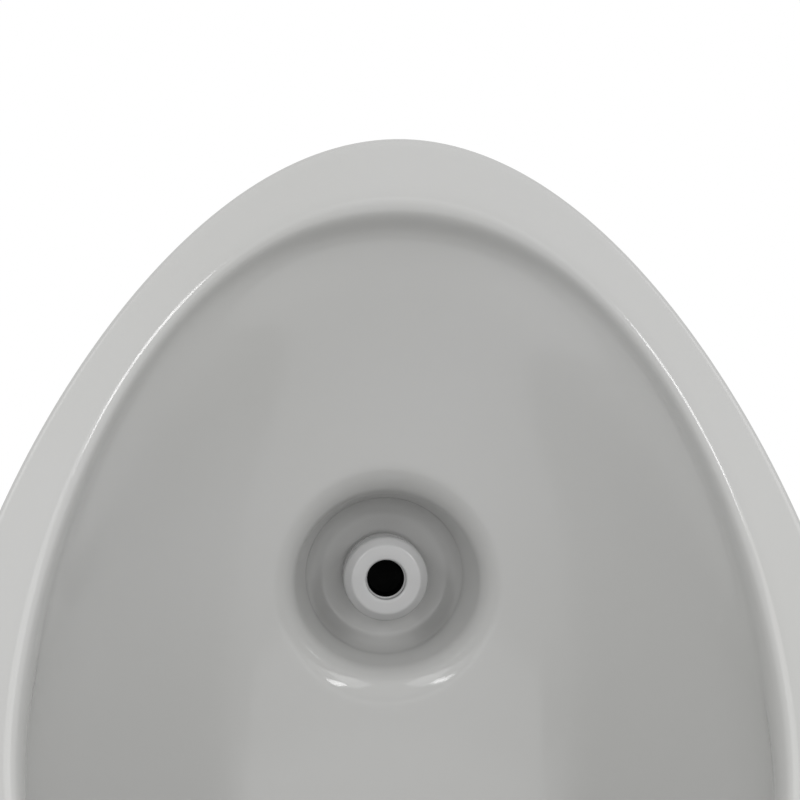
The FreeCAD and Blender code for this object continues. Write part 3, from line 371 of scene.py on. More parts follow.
def make_object(name, points, faces, body="urinal", slot="", hides=()):
    """Object from points in millimetres, riding on a body of the frame."""
    mesh = bpy.data.meshes.new(name)
    mesh.from_pydata((np.asarray(points) * 0.001).tolist(), [], faces)
    mesh.update()
    mesh.shade_smooth()
    obj = add_object(name, mesh)
    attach(obj, body)
    if slot:
        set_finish(obj, slot)
    if hides:
        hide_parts(*hides)
    return obj


class Builder:
    """Gathers points and faces, with a material number for each face."""

    def __init__(self):
        self.points = []
        self.faces = []
        self.kinds = []

    def add(self, points):
        """Adds points of any array shape and gives back their numbers, in that shape."""
        points = np.asarray(points, float)
        start = len(self.points)
        self.points.extend(points.reshape(-1, 3))
        return np.arange(start, len(self.points)).reshape(points.shape[:-1])

    def strip(self, one, other, kind=0, gap=()):
        """Faces between two closed rows of points, except at the places in gap."""
        for j in range(len(one)):
            if j in gap:
                continue
            k = (j + 1) % len(one)
            self.faces.append((int(one[j]), int(one[k]), int(other[k]), int(other[j])))
            self.kinds.append(kind)

    def rows(self, rows, kind=0):
        """Faces between each closed row of points and the next."""
        for one, other in zip(rows, rows[1:]):
            self.strip(one, other, kind)

    def finish(self, name, sharp=40.0, merge=False, **facts):
        """Drops unused points, turns the faces outward and makes the object."""
        points = np.array(self.points)
        used = np.zeros(len(points), bool)
        used[np.array(sorted({i for f in self.faces for i in f}))] = True
        number = np.cumsum(used) - 1
        faces = [tuple(int(number[i]) for i in f) for f in self.faces]
        obj = make_object(name, points[used], faces, **facts)
        mesh = obj.data
        if max(self.kinds) > 0:
            mesh.polygons.foreach_set("material_index", self.kinds)
        bm = bmesh.new()
        bm.from_mesh(mesh)
        if merge:
            bmesh.ops.remove_doubles(bm, verts=bm.verts, dist=1e-6)
        bmesh.ops.recalc_face_normals(bm, faces=bm.faces)
        bm.to_mesh(mesh)
        bm.free()
        mesh.set_sharp_from_angle(angle=math.radians(sharp))
        return obj


# Ceramic
# ---------------------------------------------------------------------------

PER_COLUMN = 12  # mesh columns for each ring column
BLOCK = 2  # ring columns that the recess patch spans each way
AROUND = COLUMNS * PER_COLUMN
V_LINE = np.arange(AROUND) / PER_COLUMN
TOP_V = COLUMNS / 2
RIM_FROM_U = 7.6  # the finely meshed rim, in u of the glazed skin
RIM_TO_U = 15.2
SEAT_FADE_U = 2.4  # up to here the rows shrink to the drain's seat
HOLLOW_ROWS = 120
TINY_STEP = 1e-4  # step in u or v that a slope is taken over
WALL_FIT = (34.0, 64.0)  # radii between which the back wall's height is fitted
LEAVE_R = (36.0, 63.0)  # radii between which the mouth's round leaves the wall
RECESS_SLOPE = (MOUTH_R - FLOOR_R) / DEPTH

DRAIN = np.array([0.0, -DRAIN_REACH, 0.0])
BOWL_Z = APEX - BOWL_DROP
SEAT_Z = BOWL_Z - SEAT_DEPTH
BOSS_Z = BOWL_Z - BOSS
CUP_REAR = -DEPTH - CUP_WALL

GLAZED = Skin(inside_rings() + rim_rings() + outside_rings())
HOLLOW = Skin(hollow_rings())


def off_drain(points):
    """Level distance of points from the drain's axis."""
    return np.hypot(points[..., 0], points[..., 1] - DRAIN[1])


def nozzle_frame():
    """Point on the back wall at the nozzle, its u, and the axes right, up and out."""
    v = np.array([TOP_V])
    u = GLAZED.solve(0.5, 7.0, v, lambda p: p[:, 2] - (APEX - NOZZLE_DROP))
    rise = (GLAZED.at(u + TINY_STEP, v) - GLAZED.at(u - TINY_STEP, v))[0]
    side = (GLAZED.at(u, v + TINY_STEP) - GLAZED.at(u, v - TINY_STEP))[0]
    out = np.cross(rise, side) * [0, 1, 1]
    out = unit(out if out[1] < 0 else -out)
    right = np.array([1.0, 0.0, 0.0])
    return GLAZED.at(u, v)[0], float(u[0]), right, np.cross(out, right), out


NOZZLE, NOZZLE_U, RIGHT, UPWARD, OUTWARD = nozzle_frame()


def from_axis(points):
    """Right, up and out of points, measured from the nozzle's point on the wall."""
    arm = points - NOZZLE
    return arm @ RIGHT, arm @ UPWARD, arm @ OUTWARD


def on_axis(radius, height, cos, sin):
    """Points round the nozzle's axis."""
    radius, height, cos, sin = np.broadcast_arrays(radius, height, cos, sin)
    return (NOZZLE + np.multiply.outer(radius * cos, RIGHT)
            + np.multiply.outer(radius * sin, UPWARD) + np.multiply.outer(height, OUTWARD))


def wall_at(right, up, u, v):
    """The back wall's (u, v) straight behind the points right and up of the nozzle."""
    for _ in range(12):
        here = np.array(from_axis(GLAZED.at(u, v))[:2])
        by_u = (np.array(from_axis(GLAZED.at(u + TINY_STEP, v))[:2]) - here) / TINY_STEP
        by_v = (np.array(from_axis(GLAZED.at(u, v + TINY_STEP))[:2]) - here) / TINY_STEP
        miss = np.array([right, up]) - here
        area = by_u[0] * by_v[1] - by_u[1] * by_v[0]
        u = u + (miss[0] * by_v[1] - miss[1] * by_v[0]) / area
        v = v + (by_u[0] * miss[1] - by_u[1] * miss[0]) / area
    return u, v


def roll_of_mouth(cos, sin, u, v):
    """Where the rounded mouth leaves the wall, and its round's centre, for each angle."""
    radii = np.linspace(*WALL_FIT, 16)
    heights = []
    for radius in radii[::-1]:
        u, v = wall_at(radius * cos, radius * sin, u, v)
        heights.append(from_axis(GLAZED.at(u, v))[2])
    fit = np.polyfit(radii, np.array(heights[::-1]), 5)
    tilt = fit[:-1] * np.arange(5, 0, -1)[:, None]
    low, high = (np.full(len(cos), r) for r in LEAVE_R)
    for _ in range(40):
        radius = (low + high) / 2
        lean = sum(c * radius ** p for c, p in zip(tilt, range(4, -1, -1)))
        height = sum(c * radius ** p for c, p in zip(fit, range(5, -1, -1)))
        steep = np.sqrt(1 + lean ** 2)
        centre_r = radius + MOUTH_ROUND * lean / steep
        centre_h = height - MOUTH_ROUND / steep
        gap = centre_r - MOUTH_R - RECESS_SLOPE * centre_h
        past = gap > MOUTH_ROUND * math.sqrt(1 + RECESS_SLOPE ** 2)
        high = np.where(past, radius, high)
        low = np.where(past, low, radius)
    return radius, height, centre_r, centre_h


def recess_patch(build, border, border_u, border_v):
    """Rings from the square border in the wall, over the rolled mouth and into the recess."""
    points = GLAZED.at(border_u, border_v)
    right, up, _ = from_axis(points)
    reach = np.hypot(right, up)
    cos, sin = right / reach, up / reach
    rings = [border]
    u, v = border_u, border_v
    leave, leave_h, centre_r, centre_h = roll_of_mouth(cos, sin, u, v)
    for t in np.linspace(0, 1, 22)[1:]:
        far = blend(reach, leave, t)
        u, v = wall_at(far * cos, far * sin, u, v)
        rings.append(build.add(GLAZED.at(u, v)))
    start = np.arctan2(leave_h - centre_h, leave - centre_r)
    end = math.pi - math.atan(RECESS_SLOPE)
    for t in np.linspace(0, 1, 17)[1:]:
        turn = blend(start, end, t)
        rings.append(build.add(on_axis(centre_r + MOUTH_ROUND * np.cos(turn),
                                       centre_h + MOUTH_ROUND * np.sin(turn), cos, sin)))
    last_r = centre_r + MOUTH_ROUND * math.cos(end)
    last_h = centre_h + MOUTH_ROUND * math.sin(end)
    knee_h = FLOOR_ROUND - DEPTH
    knee_r = MOUTH_R + RECESS_SLOPE * knee_h
    for t in np.linspace(0, 1, 7)[1:]:
        rings.append(build.add(on_axis(blend(last_r, knee_r, t), blend(last_h, knee_h, t),
                                       cos, sin)))
    for turn in np.radians(np.linspace(0, 90, 11)[1:]):
        rings.append(build.add(on_axis(knee_r - FLOOR_ROUND * (1 - math.cos(turn)),
                                       knee_h - FLOOR_ROUND * math.sin(turn), cos, sin)))
    for radius in (knee_r - FLOOR_ROUND - 3, 15.0, TAIL_HOLE_R):
        rings.append(build.add(on_axis(radius, -DEPTH, cos, sin)))
    build.rows(rings)
    cup = [(TAIL_HOLE_R, -DEPTH), (TAIL_HOLE_R, CUP_REAR), (FLOOR_R, CUP_REAR),
           (FLOOR_R + CUP_WALL, -DEPTH), (MOUTH_R + CUP_WALL - 1, -5.0)]
    for one, other in zip(cup, cup[1:]):
        build.strip(build.add(on_axis(*one, cos, sin)), build.add(on_axis(*other, cos, sin)), 1)


def glazed_grid(build):
    """The glazed skin from the drain's seat to the wall, with a gap for the recess."""
    low, high = NOZZLE_U - 1.0, NOZZLE_U + 1.0
    cells = 2 * BLOCK * PER_COLUMN
    lines = np.concatenate([
        np.linspace(0, low, 40)[:-1], np.linspace(low, high, cells + 1)[:-1],
        np.linspace(high, RIM_FROM_U, 14)[:-1], np.linspace(RIM_FROM_U, RIM_TO_U, 96)[:-1],
        np.linspace(RIM_TO_U, GLAZED.last, 34)])
    first = list(lines).index(low)
    edge = GLAZED.solve(0.0, 2.0, V_LINE, lambda p: off_drain(p) - SEAT_R - SEAT_EDGE)
    u = lines[:, None] + np.maximum(0, 1 - lines / SEAT_FADE_U)[:, None] * edge[None]
    v = np.broadcast_to(V_LINE, u.shape)
    numbers = build.add(GLAZED.at(u, v))
    left = int(TOP_V - BLOCK) * PER_COLUMN
    for i, (one, other) in enumerate(zip(numbers, numbers[1:])):
        beside = first <= i < first + cells
        build.strip(one, other, gap=range(left, left + cells) if beside else ())
    side, still = np.arange(cells), np.zeros(cells, int)
    rows = first + np.concatenate([still, side, still + cells, cells - side])
    columns = left + np.concatenate([side, still + cells, cells - side, still])
    recess_patch(build, numbers[rows, columns], u[rows, columns], v[rows, columns])
    return numbers


def hollow_grid(build):
    """The bare inside of the casting, from the drain's boss to the wall."""
    start = HOLLOW.solve(0.0, 2.0, V_LINE, lambda p: off_drain(p) - BOSS_R)
    end = HOLLOW.solve(HOLLOW.last - 3, HOLLOW.last, V_LINE, lambda p: p[:, 1])
    t = np.linspace(0, 1, HOLLOW_ROWS)[:, None]
    points = HOLLOW.at(blend(start, end, t), V_LINE)
    right, up, out = from_axis(points)
    near_cup = np.hypot(right, up) < MOUTH_R + CUP_WALL * 0.35
    open_here = near_cup & (out > -DEPTH) & (out < 12)
    open_here |= np.roll(open_here, -1, axis=1)
    numbers = build.add(points)
    for one, other, gap in zip(numbers, numbers[1:], open_here[:-1] | open_here[1:]):
        build.strip(one, other, 1, set(np.flatnonzero(gap)))
    return numbers, points


def drain_seat(build, first_row):
    """Rounded edge of the drain's seat, its ledge, the hole and the boss below."""
    top = np.array([build.points[i] for i in first_row])
    arm = (top - DRAIN) * [1, 1, 0]
    reach = np.linalg.norm(arm, axis=1)[:, None]
    arm = arm / reach
    rows = [first_row]
    for turn in np.radians(np.linspace(0, 90, 6)[1:]):
        shift = [0, 0, SEAT_EDGE * (1 - math.cos(turn))]
        rows.append(build.add(top - arm * SEAT_EDGE * math.sin(turn) - shift))
    rows.append(build.add(DRAIN + arm * SEAT_R + [0, 0, SEAT_Z]))
    build.rows(rows)
    ledge = [(SEAT_R, SEAT_Z), (HOLE_R, SEAT_Z), (HOLE_R, BOSS_Z)]
    for one, other in zip(ledge, ledge[1:]):
        build.strip(*(build.add(DRAIN + arm * r + [0, 0, z]) for r, z in (one, other)), 1)
    return arm


def boss(build, numbers, arm):
    """The boss round the drain's hole, under the bowl: its side and its end."""
    top = np.array([build.points[i] for i in numbers[0]])
    low = top * [1, 1, 0] + [0, 0, BOSS_Z]
    build.strip(build.add(top), build.add(low), 1)
    build.strip(build.add(low), build.add(DRAIN + arm * HOLE_R + [0, 0, BOSS_Z]), 1)


def rounded_bar(half_a, half_b, bend, steps):
    """Outline of a bar's section with rounded corners, about its middle."""
    outline = []
    for number, (a, b) in enumerate(((1, 1), (-1, 1), (-1, -1), (1, -1))):
        for turn in (number + np.linspace(0, 1, steps + 1)) * math.pi / 2:
            outline.append((a * (half_a - bend) + bend * math.cos(turn),
                            b * (half_b - bend) + bend * math.sin(turn)))
    return np.array(outline)


def hollow_reach(points, y, z):
    """Half width of the hollow at a depth and a height, from the plane of its nearest points."""
    side = points[points[..., 0] > 20]
    near = side[np.argsort(np.hypot(side[:, 1] - y, side[:, 2] - z))[:8]]
    plane = np.linalg.lstsq(np.column_stack([np.ones(8), near[:, 1:]]), near[:, 0], rcond=None)[0]
    return plane @ (1, y, z)


def web(build, hollow_points):
    """Bar of ceramic across the hollow, which hangs on the two brackets."""
    middle = (-WEB_REAR - WEB_DEPTH / 2, WEB_LOW + WEB_THICK / 2)
    loop = rounded_bar(WEB_DEPTH / 2, WEB_THICK / 2, WEB_EDGE, 4) + middle
    half = np.array([hollow_reach(hollow_points, y, z) for y, z in loop]) + WALL * 0.4
    rows = []
    for share in np.linspace(-1, 1, 25):
        rows.append(build.add(np.column_stack([half * share, loop])))
    build.rows(rows, 1)


def ceramic():
    """The casting: one glazed skin, the bare hollow behind it, the wall edge and the web."""
    build = Builder()
    skin = glazed_grid(build)
    hollow, hollow_points = hollow_grid(build)
    arm = drain_seat(build, skin[0])
    boss(build, hollow, arm)
    edge = build.add([build.points[i] for i in skin[-1]])
    inner = build.add([build.points[i] for i in hollow[-1]])
    build.strip(edge, inner, 1)
    web(build, hollow_points)
    return build.finish("ceramic", slot="glaze",
                        hides=("ceramic_hood", "ceramic_back", "ceramic_bowl", "ceramic_apron"))


# Turned pieces. An outline is a list of runs, and each run gives rows of
# (radius, height) round the axis; a radius may change round the axis, which
# makes threads, hexagons and grips.
# ---------------------------------------------------------------------------

TURN_STEPS = 96
TURNED_SHARP = 35.0  # degrees from which an edge stays sharp
GRIP_RIBS = 12
GRIP_OUT = 1.5
TURNS = np.arange(TURN_STEPS) * 2 * math.pi / TURN_STEPS


def line(*points):
    """Run through (radius, height) points; a third number rounds that corner."""
    rows = []
    for i, point in enumerate(points):
        here = np.array(point[:2], float)
        if len(point) == 2 or i in (0, len(points) - 1):
            rows.append(here)
            continue
        before = unit(np.array(points[i - 1][:2], float) - here)
        after = unit(np.array(points[i + 1][:2], float) - here)
        half = math.acos(max(-1.0, min(1.0, float(before @ after)))) / 2
        cut = point[2] / math.tan(half)
        centre = here + unit(before + after) * point[2] / math.sin(half)
        one, two = here + before * cut - centre, here + after * cut - centre
        spread = math.acos(max(-1.0, min(1.0, float(unit(one) @ unit(two)))))
        for t in np.linspace(0, 1, 7):
            arm = one * math.sin((1 - t) * spread) + two * math.sin(t * spread)
            rows.append(centre + arm / math.sin(spread))
    return [(np.full(TURN_STEPS, r), h) for r, h in rows]


def fade(h, low, high, soft):
    """1 between low and high, falling to 0 at both ends."""
    rise = min(max((h - low) / soft, 0), 1) * min(max((high - h) / soft, 0), 1)
    return rise * rise * (3 - 2 * rise)


def thread(radius, start, end, pitch):
    """Run of a screw thread, cut inward from its radius."""
    low, high = sorted((start, end))
    rows = []
    for h in np.linspace(start, end, max(4, int(abs(end - start) / pitch * 8))):
        wave = np.abs((h / pitch - TURNS / (2 * math.pi)) % 1 - 0.5) * 2
        crest = np.clip(wave * 1.5 - 0.25, 0, 1)
        rows.append((radius - 0.6 * pitch * crest * fade(h, low, high, pitch), h))
    return rows


def hexagon(flats, start, end):
    """Run over a hexagon whose corners are turned off at both ends."""
    low, high = sorted((start, end))
    away = (TURNS + math.pi / 6) % (math.pi / 3) - math.pi / 6
    wall = flats / 2 / np.cos(away)
    rows = []
    slope = flats * 0.0447
    ends, middle = np.linspace(0, 0.2, 7), np.linspace(0.25, 0.75, 3)
    for t in np.concatenate([ends, middle, ends + 0.8]):
        h = blend(start, end, t)
        cone = flats * 0.478 + min(h - low, high - h) / slope * flats * 0.0774
        rows.append((np.minimum(wall, cone), h))
    return rows


def grip(radius, start, end):
    """Run over a ribbed grip for the hand."""
    low, high = sorted((start, end))
    wave = np.cos(TURNS * GRIP_RIBS)
    rib = np.clip(wave * 2.2 - 1.0, 0, 1)
    return [(radius + GRIP_OUT * rib * fade(h, low, high, 2.0), h)
            for h in np.linspace(start, end, 17)]


def turned(name, runs, axis, kinds=None, hides=(), slot=""):
    """Piece made by turning its runs about an axis (origin, right, up, out)."""
    origin, right, up, out = (np.array(part, float) for part in axis)
    build = Builder()
    rows = []
    marks = []
    for number, run in enumerate(runs):
        for radius, height in run:
            rows.append(origin + np.multiply.outer(radius * np.cos(TURNS), right)
                        + np.multiply.outer(radius * np.sin(TURNS), up) + height * out)
            marks.append(kinds[number] if kinds else 0)
    loops = [build.add(row) for row in rows]
    for i in range(len(loops)):
        k = (i + 1) % len(loops)
        if k == 0 and np.allclose(rows[i], rows[i][0]) and np.allclose(rows[k], rows[k][0]):
            continue
        build.strip(loops[i], loops[k], min(marks[i], marks[k]))
    return build.finish(name, sharp=TURNED_SHARP, merge=True, slot=slot, hides=hides)


# Nozzle and supply. Heights run forward from the back wall.
# ---------------------------------------------------------------------------

NOZZLE_AXIS = (NOZZLE, RIGHT, UPWARD, OUTWARD)
NOZZLE_R = 16.5
NOZZLE_MOUTH_R = 7.8
NOZZLE_TAIL_R = 10.4
NOZZLE_NUT_FLATS = 34.0
SUPPLY_NUT_FLATS = 24.0
NOZZLE_BASE = 1.5 - DEPTH
NOZZLE_FACE = NOZZLE_BASE + 20.5
NUT_FRONT = CUP_REAR - 3.0
NUT_REAR = NUT_FRONT - 8.0
TAIL_END = NUT_REAR - 10.0
COLLAR_END = TAIL_END - 5.0


def nozzle():
    """Domed face, rolled lip and a blind mouth whose bore is painted near black as shade, with a
    screwed tail behind.
    """
    face, mouth, wide = NOZZLE_FACE, NOZZLE_MOUTH_R, NOZZLE_R
    return turned("nozzle", [
        line((0, face - 16), (6.8, face - 16, 0.6), (7.3, face - 6)),
        line((7.3, face - 6), (mouth, face - 6), (mouth, face, 1.0), (13.4, face - 0.25, 1.6),
             (wide, face - 3.6, 3.0), (wide, NOZZLE_BASE, 0.8), (NOZZLE_TAIL_R, NOZZLE_BASE)),
        thread(NOZZLE_TAIL_R, NOZZLE_BASE, TAIL_END + 1, 1.81),
        line((9.6, TAIL_END), (5, TAIL_END), (5, TAIL_END + 4), (0, TAIL_END + 4))],
        NOZZLE_AXIS, kinds=(1, 0, 0, 0), hides=("spray_nozzle",), slot="nozzle_finish")


def nozzle_nuts():
    """Nut behind the recess, and the union nut of the supply."""
    nut = turned("nozzle_rear_nut", [
        line((10.7, NUT_REAR), (16.25, NUT_REAR)),
        hexagon(NOZZLE_NUT_FLATS, NUT_REAR, NUT_FRONT),
        line((16.25, NUT_FRONT), (11.6, NUT_FRONT), (10.7, NUT_FRONT - 0.9))],
        NOZZLE_AXIS, hides=("nozzle_backnut",), slot="brass")
    low = COLLAR_END - 3.0
    union = turned("supply_union", [
        line((7.9, low), (9.2, low), (9.2, low + 1.2, 0.6), (11.4, low + 1.6)),
        hexagon(SUPPLY_NUT_FLATS, low + 1.6, NUT_REAR - 1.5),
        line((11.4, NUT_REAR - 1.5), (10.6, NUT_REAR - 1.5), (10.6, COLLAR_END),
             (7.9, COLLAR_END))],
        NOZZLE_AXIS, hides=("supply_union_nut",), slot="brass")
    return nut, union


# Waste and trap, about the drain's upright axis
# ---------------------------------------------------------------------------

DRAIN_AXIS = (DRAIN, (1, 0, 0), (0, 1, 0), (0, 0, 1))
WASTE_R = 23.9
WASTE_BORE_R = 20.0
FLANGE_R = 34.0
WASTE_NUT_FLATS = 64.0
TUBE_BORE_R = 17.0
TUBE_R = 19.0
SKIRT_R = 31.2
SKIRT_SCREW_R = 33.6
BOTTLE_R = 35.3
TRAP_BOWL_R = 38.0
PORT_BORE_R = 16.4
FLANGE_Z = SEAT_Z + 5.0
WASTE_NUT_TOP = BOSS_Z - 3.0
WASTE_NUT_LOW = WASTE_NUT_TOP - 9.0
WASTE_END = WASTE_NUT_LOW - 11.0
NECK_Z = WASTE_END - 2.0
ROOF_Z = WASTE_END - 10.0
SHOULDER_Z = ROOF_Z - 41.0
SKIRT_Z = SHOULDER_Z - 10.0
CUP_TOP = SHOULDER_Z - 0.4
CUP_LOW = CUP_TOP - 29.0
PORT_Z = ROOF_Z - 21.5
PORT_END = 62.0
OUTLET_AXIS = ((0, -DRAIN_REACH, PORT_Z), (1, 0, 0), (0, 0, 1), (0, 1, 0))


def waste():
    """Flanged waste with its screwed body, and the nut that draws it up."""
    bore, out = WASTE_BORE_R, FLANGE_R
    flange = turned("waste_flange", [
        line((bore, WASTE_END), (22.9, WASTE_END)),
        thread(WASTE_R, WASTE_END + 1, BOSS_Z + 3, 2.31),
        line((WASTE_R, BOSS_Z + 3), (WASTE_R, SEAT_Z + 2), (out, SEAT_Z + 2, 0.5),
             (out, FLANGE_Z, 1.4), (23, FLANGE_Z, 1.2), (bore, FLANGE_Z - 3, 1.5),
             (bore, WASTE_END))],
        DRAIN_AXIS, hides=("waste_body",), slot="bright_metal")
    nut = turned("waste_rear_nut", [
        line((24.1, WASTE_NUT_LOW), (30.6, WASTE_NUT_LOW)),
        hexagon(WASTE_NUT_FLATS, WASTE_NUT_LOW, WASTE_NUT_TOP),
        line((30.6, WASTE_NUT_TOP), (25.4, WASTE_NUT_TOP), (24.1, WASTE_NUT_TOP - 1.2))],
        DRAIN_AXIS, hides=("waste_backnut",), slot="grey_plastic")
    return flange, nut


def trap():
    """Bottle trap: union nut, bottle with its inner tube, side port and screwed bowl."""
    low, top = NECK_Z - 6, WASTE_NUT_LOW - 1.5
    union = turned("trap_union", [
        line((21.4, low), (29.4, low, 0.8), (31, low + 1.6)), grip(31.0, low + 1.6, top - 1.2),
        line((31, top - 1.2), (29.9, top, 0.5), (24.1, top), (24.1, NECK_Z - 3),
             (21.4, NECK_Z - 3))],
        DRAIN_AXIS, hides=("trap_union_nut",), slot="grey_plastic")
    bottle = turned("trap_bottle", [
        line((TUBE_BORE_R, CUP_LOW + 12), (TUBE_R, CUP_LOW + 12), (TUBE_R, ROOF_Z - 3, 2),
             (29, ROOF_Z - 3, 3), (33, ROOF_Z - 7, 2), (33, SHOULDER_Z + 2),
             (SKIRT_R, SHOULDER_Z), (SKIRT_R, SKIRT_Z)),
        line((SKIRT_R, SKIRT_Z), (33.2, SKIRT_Z)),
        thread(SKIRT_SCREW_R, SKIRT_Z, SHOULDER_Z, 3.0),
        line((SKIRT_SCREW_R, SHOULDER_Z), (36, SHOULDER_Z, 0.6), (36, SHOULDER_Z + 5, 0.5),
             (BOTTLE_R, SHOULDER_Z + 6, 0.5), (BOTTLE_R, ROOF_Z - 7), (BOTTLE_R, ROOF_Z, 6.5),
             (21, ROOF_Z, 1.6), (21, NECK_Z - 3), (23.4, NECK_Z - 3, 0.5), (23.4, NECK_Z, 0.5),
             (TUBE_BORE_R, NECK_Z))],
        DRAIN_AXIS, hides=("trap_body",), slot="white_plastic")
    bore = PORT_BORE_R
    port = turned("trap_port", [
        line((bore, 24), (18.4, 24), (18.4, 40)),
        line((21.4, 33.5), (21.4, 37.5, 1.5), (18.6, 41, 1.5)), thread(19.6, 42, 61, 2.6),
        line((19.0, PORT_END), (bore, PORT_END), (bore, 24))],
        OUTLET_AXIS, slot="white_plastic")
    wide = TRAP_BOWL_R
    cup = turned("trap_bowl", [
        line((0, CUP_LOW + 1.2), (12, CUP_LOW + 1.2, 0.5), (13, CUP_LOW, 0.4),
             (16, CUP_LOW, 0.4), (17, CUP_LOW + 1.2, 0.5), (30, CUP_LOW + 0.4, 4),
             (wide, CUP_LOW + 7, 6), (wide, CUP_LOW + 9)),
        grip(wide, CUP_LOW + 9, CUP_TOP - 1.2),
        line((wide, CUP_TOP - 1.2), (37, CUP_TOP, 0.5), (33.8, CUP_TOP), (33.8, SKIRT_Z - 2),
             (SKIRT_R, SKIRT_Z - 2), (26.6, CUP_LOW + 3, 2), (0, CUP_LOW + 3))],
        DRAIN_AXIS, hides=("trap_cup",), slot="white_plastic")
    return union, bottle, port, cup


# Outlet, straight back from the trap
# ---------------------------------------------------------------------------

OUTLET_NUT_R = 24.0
CUFF_RIBS = 4
CUFF_PITCH = 7.0


def outlet():
    """Union nut of the outlet, and the ribbed cuff in the wall."""
    high = PORT_END + 8.0
    low = high - 20.0
    nut = turned("outlet_union", [
        line((19.8, low), (23, low, 0.5), (OUTLET_NUT_R, low + 1.2)),
        grip(OUTLET_NUT_R, low + 1.2, high - 3),
        line((OUTLET_NUT_R, high - 3), (20, high, 1.5), (16.4, high), (16.4, high - 3),
             (19.8, high - 3))],
        OUTLET_AXIS, hides=("outlet_union_nut",), slot="grey_plastic")
    face = DRAIN_REACH + 4.0
    runs = [line((16, face - 3), (29, face - 3, 1.2), (29, face, 0.8), (24, face, 0.6))]
    for k in range(CUFF_RIBS):
        low = face + 3 + k * CUFF_PITCH
        runs.append(line((24, low), (25, low + 1.2, 0.5), (25, low + 3.6, 0.5), (24, low + 6)))
    runs.append(line((22.5, face + 33.5, 1.0), (16, face + 34)))
    cuff = turned("outlet_cuff", runs, OUTLET_AXIS, hides=("wall_cuff",), slot="black_rubber")
    return nut, cuff


# Hangers and side caps, one of each kind at each side
# ---------------------------------------------------------------------------

STUD_X = 60.0
BRACKET_THICK = 4.0
BRACKET_HALF = 16.0
BRACKET_LOW = -22.0
BRACKET_BEND = 4.2
BRACKET_EDGE = 0.8
HOOK_TOP = WEB_LOW - 2.0
HOOK_RISE = 12.0
STUD_R = 4.0
ANCHOR_R = 5.0
ANCHOR_NECK_R = 3.6
HANGER_NUT_FLATS = 13.0
HANGER_NUT_HIGH = 6.5


def stud_axis(side):
    """Axis of the anchor at one side; heights run forward from the wall."""
    return (side * STUD_X, 0, 0), (1, 0, 0), (0, 0, 1), (0, -1, 0)


def anchors():
    """Screwed anchors; their necks carry the clips."""
    made = []
    for side, word in ((-1, "left"), (1, "right")):
        made.append(turned("anchor_" + word, [
            line((0, -60), (4, -60, 0.3), (ANCHOR_R, -59, 0.3), (ANCHOR_NECK_R, -54),
                 (ANCHOR_NECK_R, -44), (ANCHOR_R, -44), (ANCHOR_R, -0.2), (STUD_R, -0.2)),
            thread(STUD_R, 0, 21, 1.25), line((3.2, 22), (0, 22))],
            stud_axis(side), hides=("wall_studs",), slot="zinc_steel"))
        low = BRACKET_THICK + 2.0
        top = low + HANGER_NUT_HIGH
        made.append(turned("hanger_nut_" + word, [
            line((4.2, low), (6.2, low)), hexagon(HANGER_NUT_FLATS, low, top),
            line((6.2, top), (4.8, top), (4.2, top - 0.6))],
            stud_axis(side), hides=("hanger_nuts",), slot="zinc_steel"))
    return made


def bracket(side, word):
    """Pressed bracket with rounded bends and edges."""
    thick = BRACKET_THICK
    front = WEB_REAR + WEB_DEPTH + 0.4 + thick / 2
    high = HOOK_TOP - thick / 2
    rows = line((thick / 2, BRACKET_LOW), (thick / 2, high, BRACKET_BEND),
                (front, high, BRACKET_BEND), (front, HOOK_TOP + HOOK_RISE))
    path = np.array([(radii[0], height) for radii, height in rows])
    along = unit(np.gradient(path, axis=0))
    normal = np.column_stack([along[:, 1], -along[:, 0]])
    section = rounded_bar(BRACKET_HALF, thick / 2, BRACKET_EDGE, 3)
    build = Builder()
    loops = []
    for point, out in zip(path, normal):
        loops.append(build.add([
            (side * STUD_X + x, -(point[0] + out[0] * n), point[1] + out[1] * n)
            for x, n in section]))
    build.rows(loops)
    for loop in (loops[0], loops[-1]):
        build.faces.append(tuple(int(i) for i in loop))
        build.kinds.append(0)
    return build.finish("bracket_" + word, slot="zinc_steel", hides=("hanger_brackets",))


def side_cap(side, word):
    """Domed cap over the screw at one side."""
    low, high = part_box("side_caps")
    top = high[0] * 1000.0
    middle = ((low[1] + high[1]) * 500.0, (low[2] + high[2]) * 500.0)
    return turned("side_cap_" + word, [
        line((10, -4.6), (11.2, -4.6), (11.2, -0.2, 0.8), (5, 0.05, 8), (0, 0.1)),
        line((0, -1.2), (10, -1.2, 0.5), (10, -4.6))],
        ((side * top, middle[0], middle[1]), (0, 1, 0), (0, 0, 1), (side, 0, 0)),
        hides=("side_caps",), slot="cap_plastic")


# Materials
# ---------------------------------------------------------------------------

